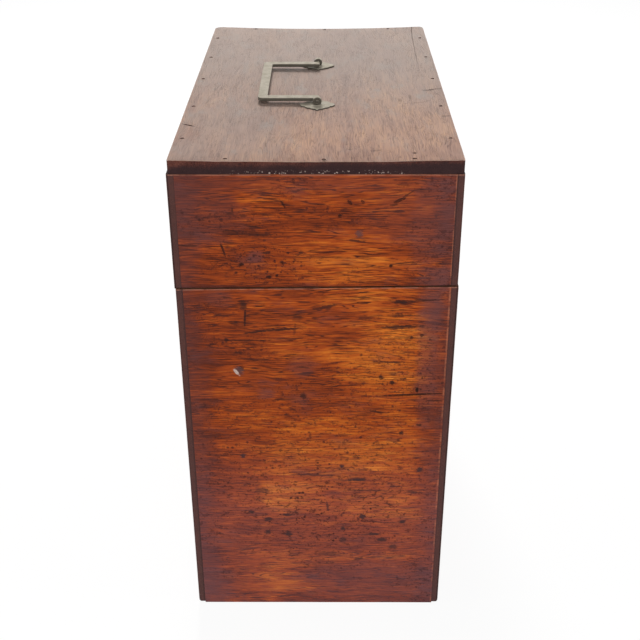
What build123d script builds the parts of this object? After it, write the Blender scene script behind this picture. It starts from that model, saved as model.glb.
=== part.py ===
from build123d import *
import os

# A decanter box in solid mahogany with brass fittings. Millimetres, +Z up.
# The origin is the middle of the underside. X runs along the box, -Y is the front
# with the lock, +Y is the back with the hinges. The handle lies towards the back.

# Driving dimensions of the carcase
LENGTH = 276.0
WIDTH = 152.0
WALL_TOP = 290.8
TOP_EDGE = 298.5
BOARD = 9.5
LAP = 4.0
FLOOR = 8.0
ARRIS = 0.8
FOOT_ROUND = 2.2

# The lid was sawn off the closed box, and the cut rises towards the front
SEAM_MIDDLE = 226.2
SEAM_RISE = 1.6
SEAM_GAP = 0.4
SEAM_ARRIS = 0.35
BASE_SHIFT = -0.25
LID_SHIFT = 0.25

# The top board has cupped: its upper face is hollow across the grain
CUP_NEAR = 1.0
CUP_FAR = 1.6
TOP_LENGTH = 275.4
TOP_WIDTH = 151.0
TOP_CORNERS = {(-1, -1): 1.5, (-1, 1): 1.5, (1, -1): 4.0, (1, 1): 6.0}

# Cells
DIVIDER = 6.0
DIVIDER_TOP = 180.0
HOUSING = 2.0
LINING = 1.2
PAD = 2.0

# Fasteners
PIN_R = 0.7
PIN_HEAD_R = 1.1
PIN_HEAD = 0.6
PIN_LENGTH = 20.0
PIN_SET = 0.4
SCREW_R = 1.2
SCREW_HEAD_R = 2.2
SCREW_LENGTH = 12.0
SHORT_SCREW = 8.0
SCREW_POINT = 2.5
SCREW_SLOT = (0.5, 0.5)

# Hinges
HINGE_LENGTH = 50.0
HINGE_X = 85.0
HINGE_Y = 77.0
HINGE_Z = 225.6
LEAF = 1.4
LEAF_GAP = 0.35
LEAF_INNER_Y = 67.0
BARREL_R = 2.2
BARREL_ROOM = 0.35
HINGE_PIN_R = 1.0
TIGHT = 0.02
RUNNING = 0.05
KNUCKLES = 5
KNUCKLE_GAP = 0.1
HINGE_SCREW_PITCH = 17.0
HINGE_SCREW_Y = 70.8

# Lock, let into the inside of the front board
LOCK_PLATE_X = 36.0
LOCK_CASE_X = 30.0
LOCK_PLATE_Z = 184.0
LOCK_CASE_Z = 188.0
LOCK_WALL = 1.2
LOCK_DEPTH = 7.0
LOCK_CAP = 1.0
SELVEDGE_TOP = 226.8
SELVEDGE = 1.5
DRILL_PIN_Z = 199.5
KEYHOLE_R = 2.4
KEYHOLE_SLOT = (2.4, 7.0)
ESCUTCHEON_RIM = 1.1
ESCUTCHEON_DEPTH = 2.0
BOLT_TRAVEL = 4.7
BOLT = 2.4
BOLT_REAR_ROOM = 0.2
BOLT_BAR_Z = (203.0, 209.0)
BOLT_BAR_X = (-27.0, 21.0)
BOLT_ARM = 4.0
BOLT_FINGER_Z = (215.6, 219.0)
TALON = (6.0, 3.5)
STUD_R = 1.1
STUD_X = (-15.0, 13.0)
HOOK_PITCH = 26.0
HOOK_STEM_X = (-14.0, -11.0)
HOOK_FOOT_X = -17.9
HOOK_FOOT_Z = (212.0, 215.0)
HOOK_Y = (-71.3, -68.3)
HOOK_SLOT_Y = (-72.6, -68.0)
HOOK_SLOT_ROOM = 0.5
LINK_PLATE_Y = (-73.5, -67.0)
LINK_PLATE_Z = 227.4

# Handle
HANDLE_X = -4.2
POST_HALF = 41.2
PIVOT_Z = 300.0
EYE_R = 2.6
EYE = 3.0
STRAP = 2.1
STRAP_WIDTH = 5.7
ARM_OUTER = 38.6
GRIP_OUTER = 34.7
GRIP_ROUND = 3.5
BAIL_PIN_R = 1.0
PLATE_SEAT_Z = 297.1
PLATE = 0.9
PLATE_DOME = 0.3
PLATE_TIP = 10.3
PLATE_CUSP = 10.4
POST_R = 1.5
NUT_SIDE = 6.0
NUT = 2.2

# Worked out from the dimensions above
HALF_LENGTH = LENGTH / 2
HALF_WIDTH = WIDTH / 2
INNER_X = HALF_LENGTH - BOARD
LAP_X = HALF_LENGTH - LAP
LAP_Y = HALF_WIDTH - LAP
INNER_Y = HALF_WIDTH - BOARD
LEFT, RIGHT = -1, 1
FRONT, BACK = -1, 1
FRONT_INNER_Y = BASE_SHIFT - INNER_Y
LOCK_OUTER_Y = FRONT_INNER_Y - LOCK_DEPTH
CAP_INNER_Y = LOCK_OUTER_Y + LOCK_CAP
PLATE_INNER_Y = FRONT_INNER_Y - LOCK_WALL
CASE_TOP = SELVEDGE_TOP - SELVEDGE
PLATE_TOP_Z = PLATE_SEAT_Z + PLATE + PLATE_DOME
SEAM = Plane(origin=(0, 0, SEAM_MIDDLE), x_dir=(1, 0, 0), z_dir=(0, SEAM_RISE / WIDTH, 1))
LID_SEAM = SEAM.offset(SEAM_GAP)


def long_wall(facing, shift, low_z, high_z):
    """A front or back board with its ends rebated to laps, its outer corners softened."""
    outer_y = shift + facing * HALF_WIDTH
    inner_y = shift + facing * INNER_Y
    lap_y = shift + facing * LAP_Y
    with BuildPart() as wall:
        with BuildSketch(Plane.XY.offset(low_z)):
            with BuildLine():
                Polyline(
                    (-HALF_LENGTH, outer_y),
                    (HALF_LENGTH, outer_y),
                    (HALF_LENGTH, lap_y),
                    (INNER_X, lap_y),
                    (INNER_X, inner_y),
                    (-INNER_X, inner_y),
                    (-INNER_X, lap_y),
                    (-HALF_LENGTH, lap_y),
                    close=True,
                )
            make_face()
        extrude(amount=high_z - low_z)
        corners = wall.edges().filter_by(Axis.Z).group_by(Axis.Y)
        fillet(corners[0] if facing == FRONT else corners[-1], radius=ARRIS)
    return wall.part


def end_wall(facing, shift, low_z, high_z):
    """An end board, which stands between the laps of the front and back boards."""
    with BuildPart() as wall:
        with BuildSketch(Plane.XY.offset(low_z)):
            with Locations((facing * (HALF_LENGTH - BOARD / 2), shift)):
                Rectangle(BOARD, 2 * LAP_Y)
        extrude(amount=high_z - low_z)
    return wall.part


def wood_screw(length, slotted):
    """A countersunk screw that points down, with the face of its head at z 0."""
    with BuildPart() as screw:
        with BuildSketch(Plane.XZ):
            with BuildLine():
                Polyline(
                    (0, 0),
                    (SCREW_HEAD_R, 0),
                    (SCREW_R, SCREW_R - SCREW_HEAD_R),
                    (SCREW_R, SCREW_POINT - length),
                    (0, -length),
                    close=True,
                )
            make_face()
        revolve(axis=Axis.Z)
        if slotted:
            with BuildSketch():
                Rectangle(2 * SCREW_HEAD_R, SCREW_SLOT[0])
            extrude(amount=-SCREW_SLOT[1], mode=Mode.SUBTRACT)
    return screw.part


def iron_pin():
    """A flat-headed pin that points down, with the face of its head at z 0."""
    with BuildPart() as pin:
        with BuildSketch():
            Circle(PIN_HEAD_R)
        extrude(amount=-PIN_HEAD)
        with BuildSketch(Plane.XY.offset(-PIN_HEAD)):
            Circle(PIN_R)
        extrude(amount=PIN_HEAD - PIN_LENGTH)
    return pin.part


def pin_bore():
    """The hole of a set pin: the pin itself, and the punched hollow over its head."""
    with BuildPart() as bore:
        add(iron_pin())
        with BuildSketch():
            Circle(PIN_HEAD_R)
        extrude(amount=3 * PIN_SET)
    return bore.part


def group(piece, places):
    """Copies of one fastener at the planes where they stand, as one group of solids."""
    with BuildPart() as fasteners:
        with Locations(*places):
            add(piece)
    return fasteners


def corner_pin_places(shift, heights):
    """Pins through the laps of the front and back boards, into the end boards."""
    pin_x = HALF_LENGTH - BOARD / 2
    return [
        Plane(origin=(side * pin_x, shift + facing * (HALF_WIDTH - PIN_SET), z), z_dir=(0, facing, 0))
        for side in (LEFT, RIGHT)
        for facing in (FRONT, BACK)
        for z in heights
    ]


def top_surface(x, y):
    """The height of the top board's hollow upper face."""
    cup = CUP_NEAR + (CUP_FAR - CUP_NEAR) * (0.5 + x / TOP_LENGTH)
    return TOP_EDGE - cup * (1 - (2 * y / TOP_WIDTH) ** 2)


# The places of pins and screws
BASE_CORNER_PINS = corner_pin_places(BASE_SHIFT, (28, 72, 116, 160, 204))
LID_CORNER_PINS = corner_pin_places(LID_SHIFT, (246, 272))
FLOOR_PINS = [
    Plane(origin=(x, y, PIN_SET), z_dir=(0, 0, -1))
    for x, y in [(x, side * 69.2) for x in (-110, -40, 40, 110) for side in (FRONT, BACK)]
    + [(side * 131.2, y) for y in (-45, 0, 45) for side in (LEFT, RIGHT)]
]
TOP_PINS = [
    Plane(origin=(x, y, top_surface(x, y) - PIN_SET))
    for x, y in [(x, side * 71.0) for x in (-105, -50, 5, 55, 105) for side in (FRONT, BACK)]
    + [(side * 134.5, y) for y in (-50, -4, 46) for side in (LEFT, RIGHT)]
]
HINGE_SCREW_X = [
    side * HINGE_X + step * HINGE_SCREW_PITCH for side in (LEFT, RIGHT) for step in (-1, 0, 1)
]
BASE_HINGE_SCREWS = [
    Plane(origin=(x, HINGE_SCREW_Y, HINGE_Z - LEAF_GAP)) for x in HINGE_SCREW_X
]
LID_HINGE_SCREWS = [
    Plane(origin=(x, HINGE_SCREW_Y, HINGE_Z + LEAF_GAP), z_dir=(0, 0, -1)) for x in HINGE_SCREW_X
]
LOCK_PLATE_SCREWS = [
    Plane(origin=(side * 33.0, FRONT_INNER_Y, z), z_dir=(0, 1, 0))
    for side in (LEFT, RIGHT)
    for z in (188.0, 208.0)
]
SELVEDGE_SCREWS = [Plane(origin=(side * 33.0, -71.2, SELVEDGE_TOP)) for side in (LEFT, RIGHT)]
LINK_SCREWS = [
    Plane(origin=(side * 31.0, -70.25, LINK_PLATE_Z), z_dir=(0, 0, -1)) for side in (LEFT, RIGHT)
]

# Fasteners, and the same shapes without slots as the holes they fill
base_corner_pins = group(iron_pin(), BASE_CORNER_PINS)
lid_corner_pins = group(iron_pin(), LID_CORNER_PINS)
bottom_pins = group(iron_pin(), FLOOR_PINS)
top_pins = group(iron_pin(), TOP_PINS)
base_hinge_screws = group(wood_screw(SCREW_LENGTH, True), BASE_HINGE_SCREWS)
lid_hinge_screws = group(wood_screw(SCREW_LENGTH, True), LID_HINGE_SCREWS)
link_plate_screws = group(wood_screw(SCREW_LENGTH, True), LINK_SCREWS)
with BuildPart() as lock_screws:
    add(group(wood_screw(SHORT_SCREW, True), LOCK_PLATE_SCREWS).part)
    add(group(wood_screw(SCREW_LENGTH, True), SELVEDGE_SCREWS).part)

base_corner_bores = group(pin_bore(), BASE_CORNER_PINS).part
lid_corner_bores = group(pin_bore(), LID_CORNER_PINS).part
floor_bores = group(pin_bore(), FLOOR_PINS).part
top_bores = group(pin_bore(), TOP_PINS).part
base_hinge_bores = group(wood_screw(SCREW_LENGTH, False), BASE_HINGE_SCREWS).part
lid_hinge_bores = group(wood_screw(SCREW_LENGTH, False), LID_HINGE_SCREWS).part
link_bores = group(wood_screw(SCREW_LENGTH, False), LINK_SCREWS).part
lock_plate_bores = group(wood_screw(SHORT_SCREW, False), LOCK_PLATE_SCREWS).part
selvedge_bores = group(wood_screw(SCREW_LENGTH, False), SELVEDGE_SCREWS).part

# The bottom board fills rebates round the foot of the four walls
with BuildPart() as bottom_board:
    with BuildSketch():
        with Locations((0, BASE_SHIFT)):
            Rectangle(2 * LAP_X, 2 * LAP_Y)
    extrude(amount=FLOOR)
floor_space = bottom_board.part
with BuildPart() as bottom_board:
    add(floor_space)
    add(floor_bores, mode=Mode.SUBTRACT)

# The divider stands in housings in the front and back boards
with BuildPart() as cell_divider:
    with BuildSketch(Plane.XY.offset(FLOOR)):
        with Locations((0, BASE_SHIFT)):
            Rectangle(DIVIDER, 2 * (INNER_Y + HOUSING))
    extrude(amount=DIVIDER_TOP - FLOOR)
divider_space = cell_divider.part
with BuildPart() as cell_divider:
    add(divider_space)
    long_top = cell_divider.faces().sort_by(Axis.Z)[-1].edges().filter_by(Axis.Y)
    fillet(long_top, radius=DIVIDER / 3)

# The room that the two hinges take from the boards on both sides of the seam
with BuildPart() as hinge_room:
    for side in (LEFT, RIGHT):
        with BuildSketch(Plane.XY.offset(HINGE_Z - LEAF_GAP - LEAF)):
            with Locations((side * HINGE_X, (LEAF_INNER_Y + HINGE_Y) / 2)):
                Rectangle(HINGE_LENGTH, HINGE_Y - LEAF_INNER_Y)
        extrude(amount=2 * (LEAF_GAP + LEAF))
        with BuildSketch(Plane.YZ.offset(side * HINGE_X - HINGE_LENGTH / 2 - BARREL_ROOM)):
            with Locations((HINGE_Y, HINGE_Z)):
                Circle(BARREL_R + BARREL_ROOM)
        extrude(amount=HINGE_LENGTH + 2 * BARREL_ROOM)

# The lock's room: a deep pocket, and a shallow rebate for the plate and the selvedge
with BuildPart() as lock_room:
    with BuildSketch(Plane.XZ.offset(-FRONT_INNER_Y)):
        with Locations((0, (LOCK_CASE_Z + CASE_TOP) / 2)):
            Rectangle(2 * LOCK_CASE_X, CASE_TOP - LOCK_CASE_Z)
    extrude(amount=LOCK_DEPTH)
    with BuildSketch(Plane.XZ.offset(-FRONT_INNER_Y)):
        with Locations((0, (LOCK_PLATE_Z + CASE_TOP) / 2)):
            Rectangle(2 * LOCK_PLATE_X, CASE_TOP - LOCK_PLATE_Z)
    extrude(amount=LOCK_WALL)
    with BuildSketch(Plane.XY.offset(CASE_TOP)):
        with Locations((0, FRONT_INNER_Y - LOCK_DEPTH / 2)):
            Rectangle(2 * LOCK_PLATE_X, LOCK_DEPTH)
    extrude(amount=2 * SELVEDGE)


def keyhole(rim, start_y, depth):
    """A prism of the keyhole's outline, grown by the rim, that runs back from start_y."""
    slot_width, slot_drop = KEYHOLE_SLOT
    with BuildPart() as shape:
        with BuildSketch(Plane.XZ.offset(-start_y)):
            with Locations((0, DRILL_PIN_Z)):
                Circle(KEYHOLE_R + rim)
            with Locations((0, DRILL_PIN_Z - (slot_drop + rim) / 2)):
                Rectangle(slot_width + 2 * rim, slot_drop + rim)
        extrude(amount=-depth)
    return shape.part


FRONT_FACE_Y = BASE_SHIFT - HALF_WIDTH
escutcheon_space = keyhole(ESCUTCHEON_RIM, FRONT_FACE_Y, ESCUTCHEON_DEPTH)
keyhole_space = keyhole(0, FRONT_FACE_Y, BOARD)
with BuildPart() as keyhole_escutcheon:
    add(escutcheon_space)
    add(keyhole_space, mode=Mode.SUBTRACT)

# Walls of the base, cut off along the seam
with BuildPart() as base_front_board:
    add(long_wall(FRONT, BASE_SHIFT, 0, WALL_TOP))
    split(bisect_by=SEAM, keep=Keep.BOTTOM)
    outer_edges = base_front_board.edges().filter_by(Axis.X).group_by(Axis.Y)[0].sort_by(Axis.Z)
    fillet(outer_edges[0], radius=FOOT_ROUND)
    chamfer(
        base_front_board.edges().filter_by(Axis.X).group_by(Axis.Y)[0].sort_by(Axis.Z)[-1],
        length=SEAM_ARRIS,
    )
    add(floor_space, mode=Mode.SUBTRACT)
    add(divider_space, mode=Mode.SUBTRACT)
    add(lock_room.part, mode=Mode.SUBTRACT)
    add(escutcheon_space, mode=Mode.SUBTRACT)
    add(keyhole_space, mode=Mode.SUBTRACT)
    for bores in (base_corner_bores, floor_bores, lock_plate_bores, selvedge_bores):
        add(bores, mode=Mode.SUBTRACT)

with BuildPart() as base_back_board:
    add(long_wall(BACK, BASE_SHIFT, 0, WALL_TOP))
    split(bisect_by=SEAM, keep=Keep.BOTTOM)
    outer_edges = base_back_board.edges().filter_by(Axis.X).group_by(Axis.Y)[-1].sort_by(Axis.Z)
    fillet(outer_edges[0], radius=FOOT_ROUND)
    add(floor_space, mode=Mode.SUBTRACT)
    add(divider_space, mode=Mode.SUBTRACT)
    add(hinge_room.part, mode=Mode.SUBTRACT)
    for bores in (base_corner_bores, floor_bores, base_hinge_bores):
        add(bores, mode=Mode.SUBTRACT)


def base_end(facing):
    """An end board of the base, with a softened rim at the seam and round the foot."""
    with BuildPart() as end:
        add(end_wall(facing, BASE_SHIFT, 0, WALL_TOP))
        split(bisect_by=SEAM, keep=Keep.BOTTOM)
        outer_face = end.faces().filter_by(Axis.X).sort_by(Axis.X)[-1 if facing == RIGHT else 0]
        rims = outer_face.edges().sort_by(Axis.Z)
        chamfer([rims[0], rims[-1]], length=SEAM_ARRIS)
        add(floor_space, mode=Mode.SUBTRACT)
        for bores in (base_corner_bores, floor_bores):
            add(bores, mode=Mode.SUBTRACT)
    return end


base_left_end = base_end(LEFT)
base_right_end = base_end(RIGHT)


# Cells
def cell_lining(side):
    """A baize sleeve glued round the four walls of one cell, as high as the divider."""
    width = INNER_X - DIVIDER / 2
    with BuildPart() as lining:
        with BuildSketch(Plane.XY.offset(FLOOR)):
            with Locations((side * (DIVIDER + width) / 2, BASE_SHIFT)):
                Rectangle(width, 2 * INNER_Y)
                Rectangle(width - 2 * LINING, 2 * (INNER_Y - LINING), mode=Mode.SUBTRACT)
        extrude(amount=DIVIDER_TOP - DIVIDER / 3 - FLOOR)
    return lining


def cell_pad(side):
    """A felt pad on the floor of one cell, inside the sleeve."""
    width = INNER_X - DIVIDER / 2
    with BuildPart() as pad:
        with BuildSketch(Plane.XY.offset(FLOOR)):
            with Locations((side * (DIVIDER + width) / 2, BASE_SHIFT)):
                Rectangle(width - 2 * LINING, 2 * (INNER_Y - LINING))
        extrude(amount=PAD)
    return pad


left_cell_lining = cell_lining(LEFT)
right_cell_lining = cell_lining(RIGHT)
left_cell_pad = cell_pad(LEFT)
right_cell_pad = cell_pad(RIGHT)


# Hinges
def hinge_leaf(side, upper):
    """One leaf with its knuckles: the base leaf has the odd ones, the lid leaf the even ones."""
    start_x = side * HINGE_X - HINGE_LENGTH / 2
    knuckle = HINGE_LENGTH / KNUCKLES
    leaf_z = HINGE_Z + LEAF_GAP if upper else HINGE_Z - LEAF_GAP - LEAF
    bore_r = HINGE_PIN_R + (RUNNING if upper else TIGHT)
    edge_y = HINGE_Y - BARREL_R - BARREL_ROOM
    own = range(1, KNUCKLES, 2) if upper else range(0, KNUCKLES, 2)
    with BuildPart() as leaf:
        with BuildSketch(Plane.XY.offset(leaf_z)):
            with Locations((side * HINGE_X, (LEAF_INNER_Y + edge_y) / 2)):
                Rectangle(HINGE_LENGTH, edge_y - LEAF_INNER_Y)
        extrude(amount=LEAF)
        for index in own:
            with BuildSketch(Plane.YZ.offset(start_x + index * knuckle + KNUCKLE_GAP)):
                with Locations(((edge_y + HINGE_Y) / 2 - LEAF / 2, leaf_z + LEAF / 2)):
                    Rectangle(HINGE_Y - edge_y + LEAF, LEAF)
                with Locations((HINGE_Y, HINGE_Z)):
                    Circle(BARREL_R)
                    Circle(bore_r, mode=Mode.SUBTRACT)
            extrude(amount=knuckle - 2 * KNUCKLE_GAP)
        add(lid_hinge_bores if upper else base_hinge_bores, mode=Mode.SUBTRACT)
    return leaf


def hinge_pin(side):
    """The wire pin of a hinge, held in the knuckles of the base leaf."""
    with BuildPart() as pin:
        with BuildSketch(Plane.YZ.offset(side * HINGE_X - HINGE_LENGTH / 2)):
            with Locations((HINGE_Y, HINGE_Z)):
                Circle(HINGE_PIN_R)
        extrude(amount=HINGE_LENGTH)
    return pin


left_hinge_base_leaf = hinge_leaf(LEFT, False)
right_hinge_base_leaf = hinge_leaf(RIGHT, False)
left_hinge_lid_leaf = hinge_leaf(LEFT, True)
right_hinge_lid_leaf = hinge_leaf(RIGHT, True)
left_hinge_pin = hinge_pin(LEFT)
right_hinge_pin = hinge_pin(RIGHT)

# Lock case: a plate flush with the inside of the board, a rim round the works, and the
# selvedge along the board's edge with a slot for each hook
HOOK_STEMS = [step * HOOK_PITCH for step in (0, 1)]
case_mid_z = (LOCK_CASE_Z + CASE_TOP) / 2
with BuildPart() as lock_case:
    with BuildSketch(Plane.XZ.offset(-FRONT_INNER_Y)):
        with Locations((0, (LOCK_PLATE_Z + CASE_TOP) / 2)):
            Rectangle(2 * LOCK_PLATE_X, CASE_TOP - LOCK_PLATE_Z)
    extrude(amount=LOCK_WALL)
    with BuildSketch(Plane.XZ.offset(-PLATE_INNER_Y)):
        with Locations((0, case_mid_z)):
            Rectangle(2 * LOCK_CASE_X, CASE_TOP - LOCK_CASE_Z)
        with Locations((0, case_mid_z + LOCK_WALL / 2)):
            Rectangle(
                2 * (LOCK_CASE_X - LOCK_WALL), CASE_TOP - LOCK_CASE_Z - LOCK_WALL, mode=Mode.SUBTRACT
            )
    extrude(amount=PLATE_INNER_Y - CAP_INNER_Y)
    with BuildSketch(Plane.XY.offset(CASE_TOP)):
        with Locations((0, FRONT_INNER_Y - LOCK_DEPTH / 2)):
            Rectangle(2 * LOCK_PLATE_X, LOCK_DEPTH)
        slot_low_x = HOOK_FOOT_X - HOOK_SLOT_ROOM
        slot_high_x = HOOK_STEM_X[1] + HOOK_SLOT_ROOM
        for step in HOOK_STEMS:
            with Locations(((slot_low_x + slot_high_x) / 2 + step, sum(HOOK_SLOT_Y) / 2)):
                Rectangle(
                    slot_high_x - slot_low_x, HOOK_SLOT_Y[1] - HOOK_SLOT_Y[0], mode=Mode.SUBTRACT
                )
    extrude(amount=SELVEDGE)
    add(lock_plate_bores, mode=Mode.SUBTRACT)
    add(selvedge_bores, mode=Mode.SUBTRACT)

with BuildPart() as lock_cap:
    with BuildSketch(Plane.XZ.offset(-CAP_INNER_Y)):
        with Locations((0, case_mid_z)):
            Rectangle(2 * LOCK_CASE_X, CASE_TOP - LOCK_CASE_Z)
    extrude(amount=LOCK_CAP)
    add(keyhole_space, mode=Mode.SUBTRACT)

# Bolt: a bar with two fingers, which slide over the feet of the hooks
BOLT_REAR_Y = PLATE_INNER_Y - BOLT_REAR_ROOM
with BuildPart() as lock_bolt:
    with BuildSketch(Plane.XZ.offset(-BOLT_REAR_Y)):
        bar_low, bar_high = BOLT_BAR_Z
        finger_low, finger_high = BOLT_FINGER_Z
        with Locations((sum(BOLT_BAR_X) / 2, (bar_low + bar_high) / 2)):
            Rectangle(BOLT_BAR_X[1] - BOLT_BAR_X[0], bar_high - bar_low)
        for step in HOOK_STEMS:
            arm_x = BOLT_BAR_X[0] + step
            with Locations((arm_x + BOLT_ARM / 2, (bar_high + finger_high) / 2)):
                Rectangle(BOLT_ARM, finger_high - bar_high)
            with Locations((arm_x + BOLT_ARM, (finger_low + finger_high) / 2)):
                Rectangle(2 * BOLT_ARM, finger_high - finger_low)
        with Locations((0, bar_low + TALON[1] / 2)):
            Rectangle(TALON[0], TALON[1], mode=Mode.SUBTRACT)
        for stud_x in STUD_X:
            with Locations((stud_x - BOLT_TRAVEL / 2, (bar_low + bar_high) / 2)):
                SlotCenterToCenter(BOLT_TRAVEL + 0.2, 2 * (STUD_R + 0.1), mode=Mode.SUBTRACT)
    extrude(amount=BOLT)

with BuildPart() as lock_studs:
    with BuildSketch(Plane.XZ.offset(-PLATE_INNER_Y)):
        with Locations(*[(x, sum(BOLT_BAR_Z) / 2) for x in STUD_X]):
            Circle(STUD_R)
    extrude(amount=PLATE_INNER_Y - CAP_INNER_Y)

with BuildPart() as lock_drill_pin:
    with BuildSketch(Plane.XZ.offset(-PLATE_INNER_Y)):
        with Locations((0, DRILL_PIN_Z)):
            Circle(STUD_R)
    extrude(amount=PLATE_INNER_Y - CAP_INNER_Y + LOCK_CAP)

# Leaf spring: fixed to the case's side wall, its bow stands over the bolt's bar
SPRING = 0.5
spring_x = LOCK_CASE_X - LOCK_WALL
spring_low = BOLT_BAR_Z[1] + SPRING
spring_line = Edge.make_three_point_arc(
    (spring_x - SPRING / 2, spring_low + 9), (spring_x - 6, spring_low + 1.2), (spring_x - 12, spring_low)
)
with BuildPart() as lock_spring:
    with BuildSketch(Plane.XZ.offset(-BOLT_REAR_Y)):
        SlotArc(spring_line, SPRING)
    extrude(amount=BOLT)

# Walls of the lid, cut off along the other side of the saw cut
with BuildPart() as link_room:
    with BuildSketch(Plane.XY.offset(SEAM_MIDDLE)):
        with Locations((0, sum(LINK_PLATE_Y) / 2)):
            Rectangle(2 * LOCK_PLATE_X, LINK_PLATE_Y[1] - LINK_PLATE_Y[0])
    extrude(amount=LINK_PLATE_Z + SELVEDGE - SEAM_MIDDLE)

with BuildPart() as lid_front_board:
    add(long_wall(FRONT, LID_SHIFT, DIVIDER_TOP, WALL_TOP))
    split(bisect_by=LID_SEAM, keep=Keep.TOP)
    outer_edges = lid_front_board.edges().filter_by(Axis.X).group_by(Axis.Y)[0].sort_by(Axis.Z)
    chamfer(outer_edges[0], length=SEAM_ARRIS)
    add(link_room.part, mode=Mode.SUBTRACT)
    for bores in (lid_corner_bores, top_bores, link_bores):
        add(bores, mode=Mode.SUBTRACT)

with BuildPart() as lid_back_board:
    add(long_wall(BACK, LID_SHIFT, DIVIDER_TOP, WALL_TOP))
    split(bisect_by=LID_SEAM, keep=Keep.TOP)
    add(hinge_room.part, mode=Mode.SUBTRACT)
    for bores in (lid_corner_bores, top_bores, lid_hinge_bores):
        add(bores, mode=Mode.SUBTRACT)


def lid_end(facing):
    """An end board of the lid, with softened rims at the seam and under the top board."""
    with BuildPart() as end:
        add(end_wall(facing, LID_SHIFT, DIVIDER_TOP, WALL_TOP))
        split(bisect_by=LID_SEAM, keep=Keep.TOP)
        outer_face = end.faces().filter_by(Axis.X).sort_by(Axis.X)[-1 if facing == RIGHT else 0]
        rims = outer_face.edges().sort_by(Axis.Z)
        chamfer([rims[0], rims[-1]], length=SEAM_ARRIS)
        for bores in (lid_corner_bores, top_bores):
            add(bores, mode=Mode.SUBTRACT)
    return end


lid_left_end = lid_end(LEFT)
lid_right_end = lid_end(RIGHT)

with BuildPart() as link_plate:
    with BuildSketch(Plane.XY.offset(LINK_PLATE_Z)):
        with Locations((0, sum(LINK_PLATE_Y) / 2)):
            Rectangle(2 * LOCK_PLATE_X, LINK_PLATE_Y[1] - LINK_PLATE_Y[0])
    extrude(amount=SELVEDGE)
    with BuildSketch(Plane.XZ.offset(-HOOK_Y[1])):
        foot_low, foot_high = HOOK_FOOT_Z
        for step in HOOK_STEMS:
            with Locations((sum(HOOK_STEM_X) / 2 + step, (foot_low + LINK_PLATE_Z) / 2)):
                Rectangle(HOOK_STEM_X[1] - HOOK_STEM_X[0], LINK_PLATE_Z - foot_low)
            with Locations(((HOOK_FOOT_X + HOOK_STEM_X[1]) / 2 + step, (foot_low + foot_high) / 2)):
                Rectangle(HOOK_STEM_X[1] - HOOK_FOOT_X, foot_high - foot_low)
    extrude(amount=HOOK_Y[1] - HOOK_Y[0])
    add(link_bores, mode=Mode.SUBTRACT)

with BuildPart() as lid_lining:
    with BuildSketch(Plane.XY.offset(WALL_TOP - LINING)):
        with Locations((0, LID_SHIFT)):
            Rectangle(2 * INNER_X, 2 * INNER_Y)
    extrude(amount=LINING)


# Handle fittings
def backplate_outline():
    """A quarter of the pointed, scalloped plate: two lobes, a waist and a side cusp."""
    with BuildLine() as quarter:
        ThreePointArc((0, PLATE_TIP), (2.0, 9.5), (3.3, 8.1))
        ThreePointArc((3.3, 8.1), (3.1, 7.7), (3.4, 7.3))
        ThreePointArc((3.4, 7.3), (5.1, 6.6), (6.1, 5.3))
        ThreePointArc((6.1, 5.3), (5.9, 4.9), (6.2, 4.5))
        ThreePointArc((6.2, 4.5), (7.5, 3.2), (8.2, 1.4))
        Line((8.2, 1.4), (PLATE_CUSP, 0))
    return quarter.line


def handle_plate(side, bored):
    """A backplate under one post, flat below and slightly raised round the post."""
    center = (HANDLE_X + side * POST_HALF, 0)
    with BuildPart() as plate:
        with BuildSketch(Plane(origin=(*center, PLATE_SEAT_Z))):
            with BuildLine():
                add(backplate_outline())
                mirror(about=Plane.XZ)
                mirror(about=Plane.YZ)
            make_face()
        extrude(amount=PLATE)
        if bored:
            with BuildSketch(Plane(origin=(*center, PLATE_SEAT_Z + PLATE))):
                Ellipse(3.4, 4.6)
            extrude(amount=PLATE_DOME, taper=45)
            with BuildSketch(Plane(origin=(*center, PLATE_SEAT_Z))):
                Circle(POST_R)
            extrude(amount=PLATE + PLATE_DOME, mode=Mode.SUBTRACT)
    return plate


def handle_post(side):
    """An eye post: a drilled head over the backplate, and a shank down to its nut."""
    post_x = HANDLE_X + side * POST_HALF
    with BuildPart() as post:
        with BuildSketch(Plane.YZ.offset(post_x - EYE / 2)):
            with Locations((0, PIVOT_Z)):
                Circle(EYE_R)
            with Locations((0, PLATE_TOP_Z - EYE_R)):
                Rectangle(2 * EYE_R, 2 * EYE_R, mode=Mode.SUBTRACT)
        extrude(amount=EYE)
        with BuildSketch(Plane(origin=(post_x, 0, PLATE_TOP_Z))):
            Circle(POST_R)
        extrude(amount=WALL_TOP - PLATE_TOP_Z)
        with BuildSketch(Plane.YZ.offset(post_x - EYE / 2)):
            with Locations((0, PIVOT_Z)):
                Circle(BAIL_PIN_R + RUNNING)
        extrude(amount=EYE, mode=Mode.SUBTRACT)
    return post


handle_plate_left = handle_plate(LEFT, True)
handle_plate_right = handle_plate(RIGHT, True)
handle_post_left = handle_post(LEFT)
handle_post_right = handle_post(RIGHT)

with BuildPart() as nut_room:
    with BuildSketch(Plane.XY.offset(WALL_TOP)):
        with Locations(*[(HANDLE_X + side * POST_HALF, 0) for side in (LEFT, RIGHT)]):
            Rectangle(NUT_SIDE, NUT_SIDE)
    extrude(amount=NUT)
with BuildPart() as handle_nuts:
    add(nut_room.part)
    with BuildSketch(Plane.XY.offset(WALL_TOP)):
        with Locations(*[(HANDLE_X + side * POST_HALF, 0) for side in (LEFT, RIGHT)]):
            Circle(POST_R)
    extrude(amount=NUT, mode=Mode.SUBTRACT)

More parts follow.
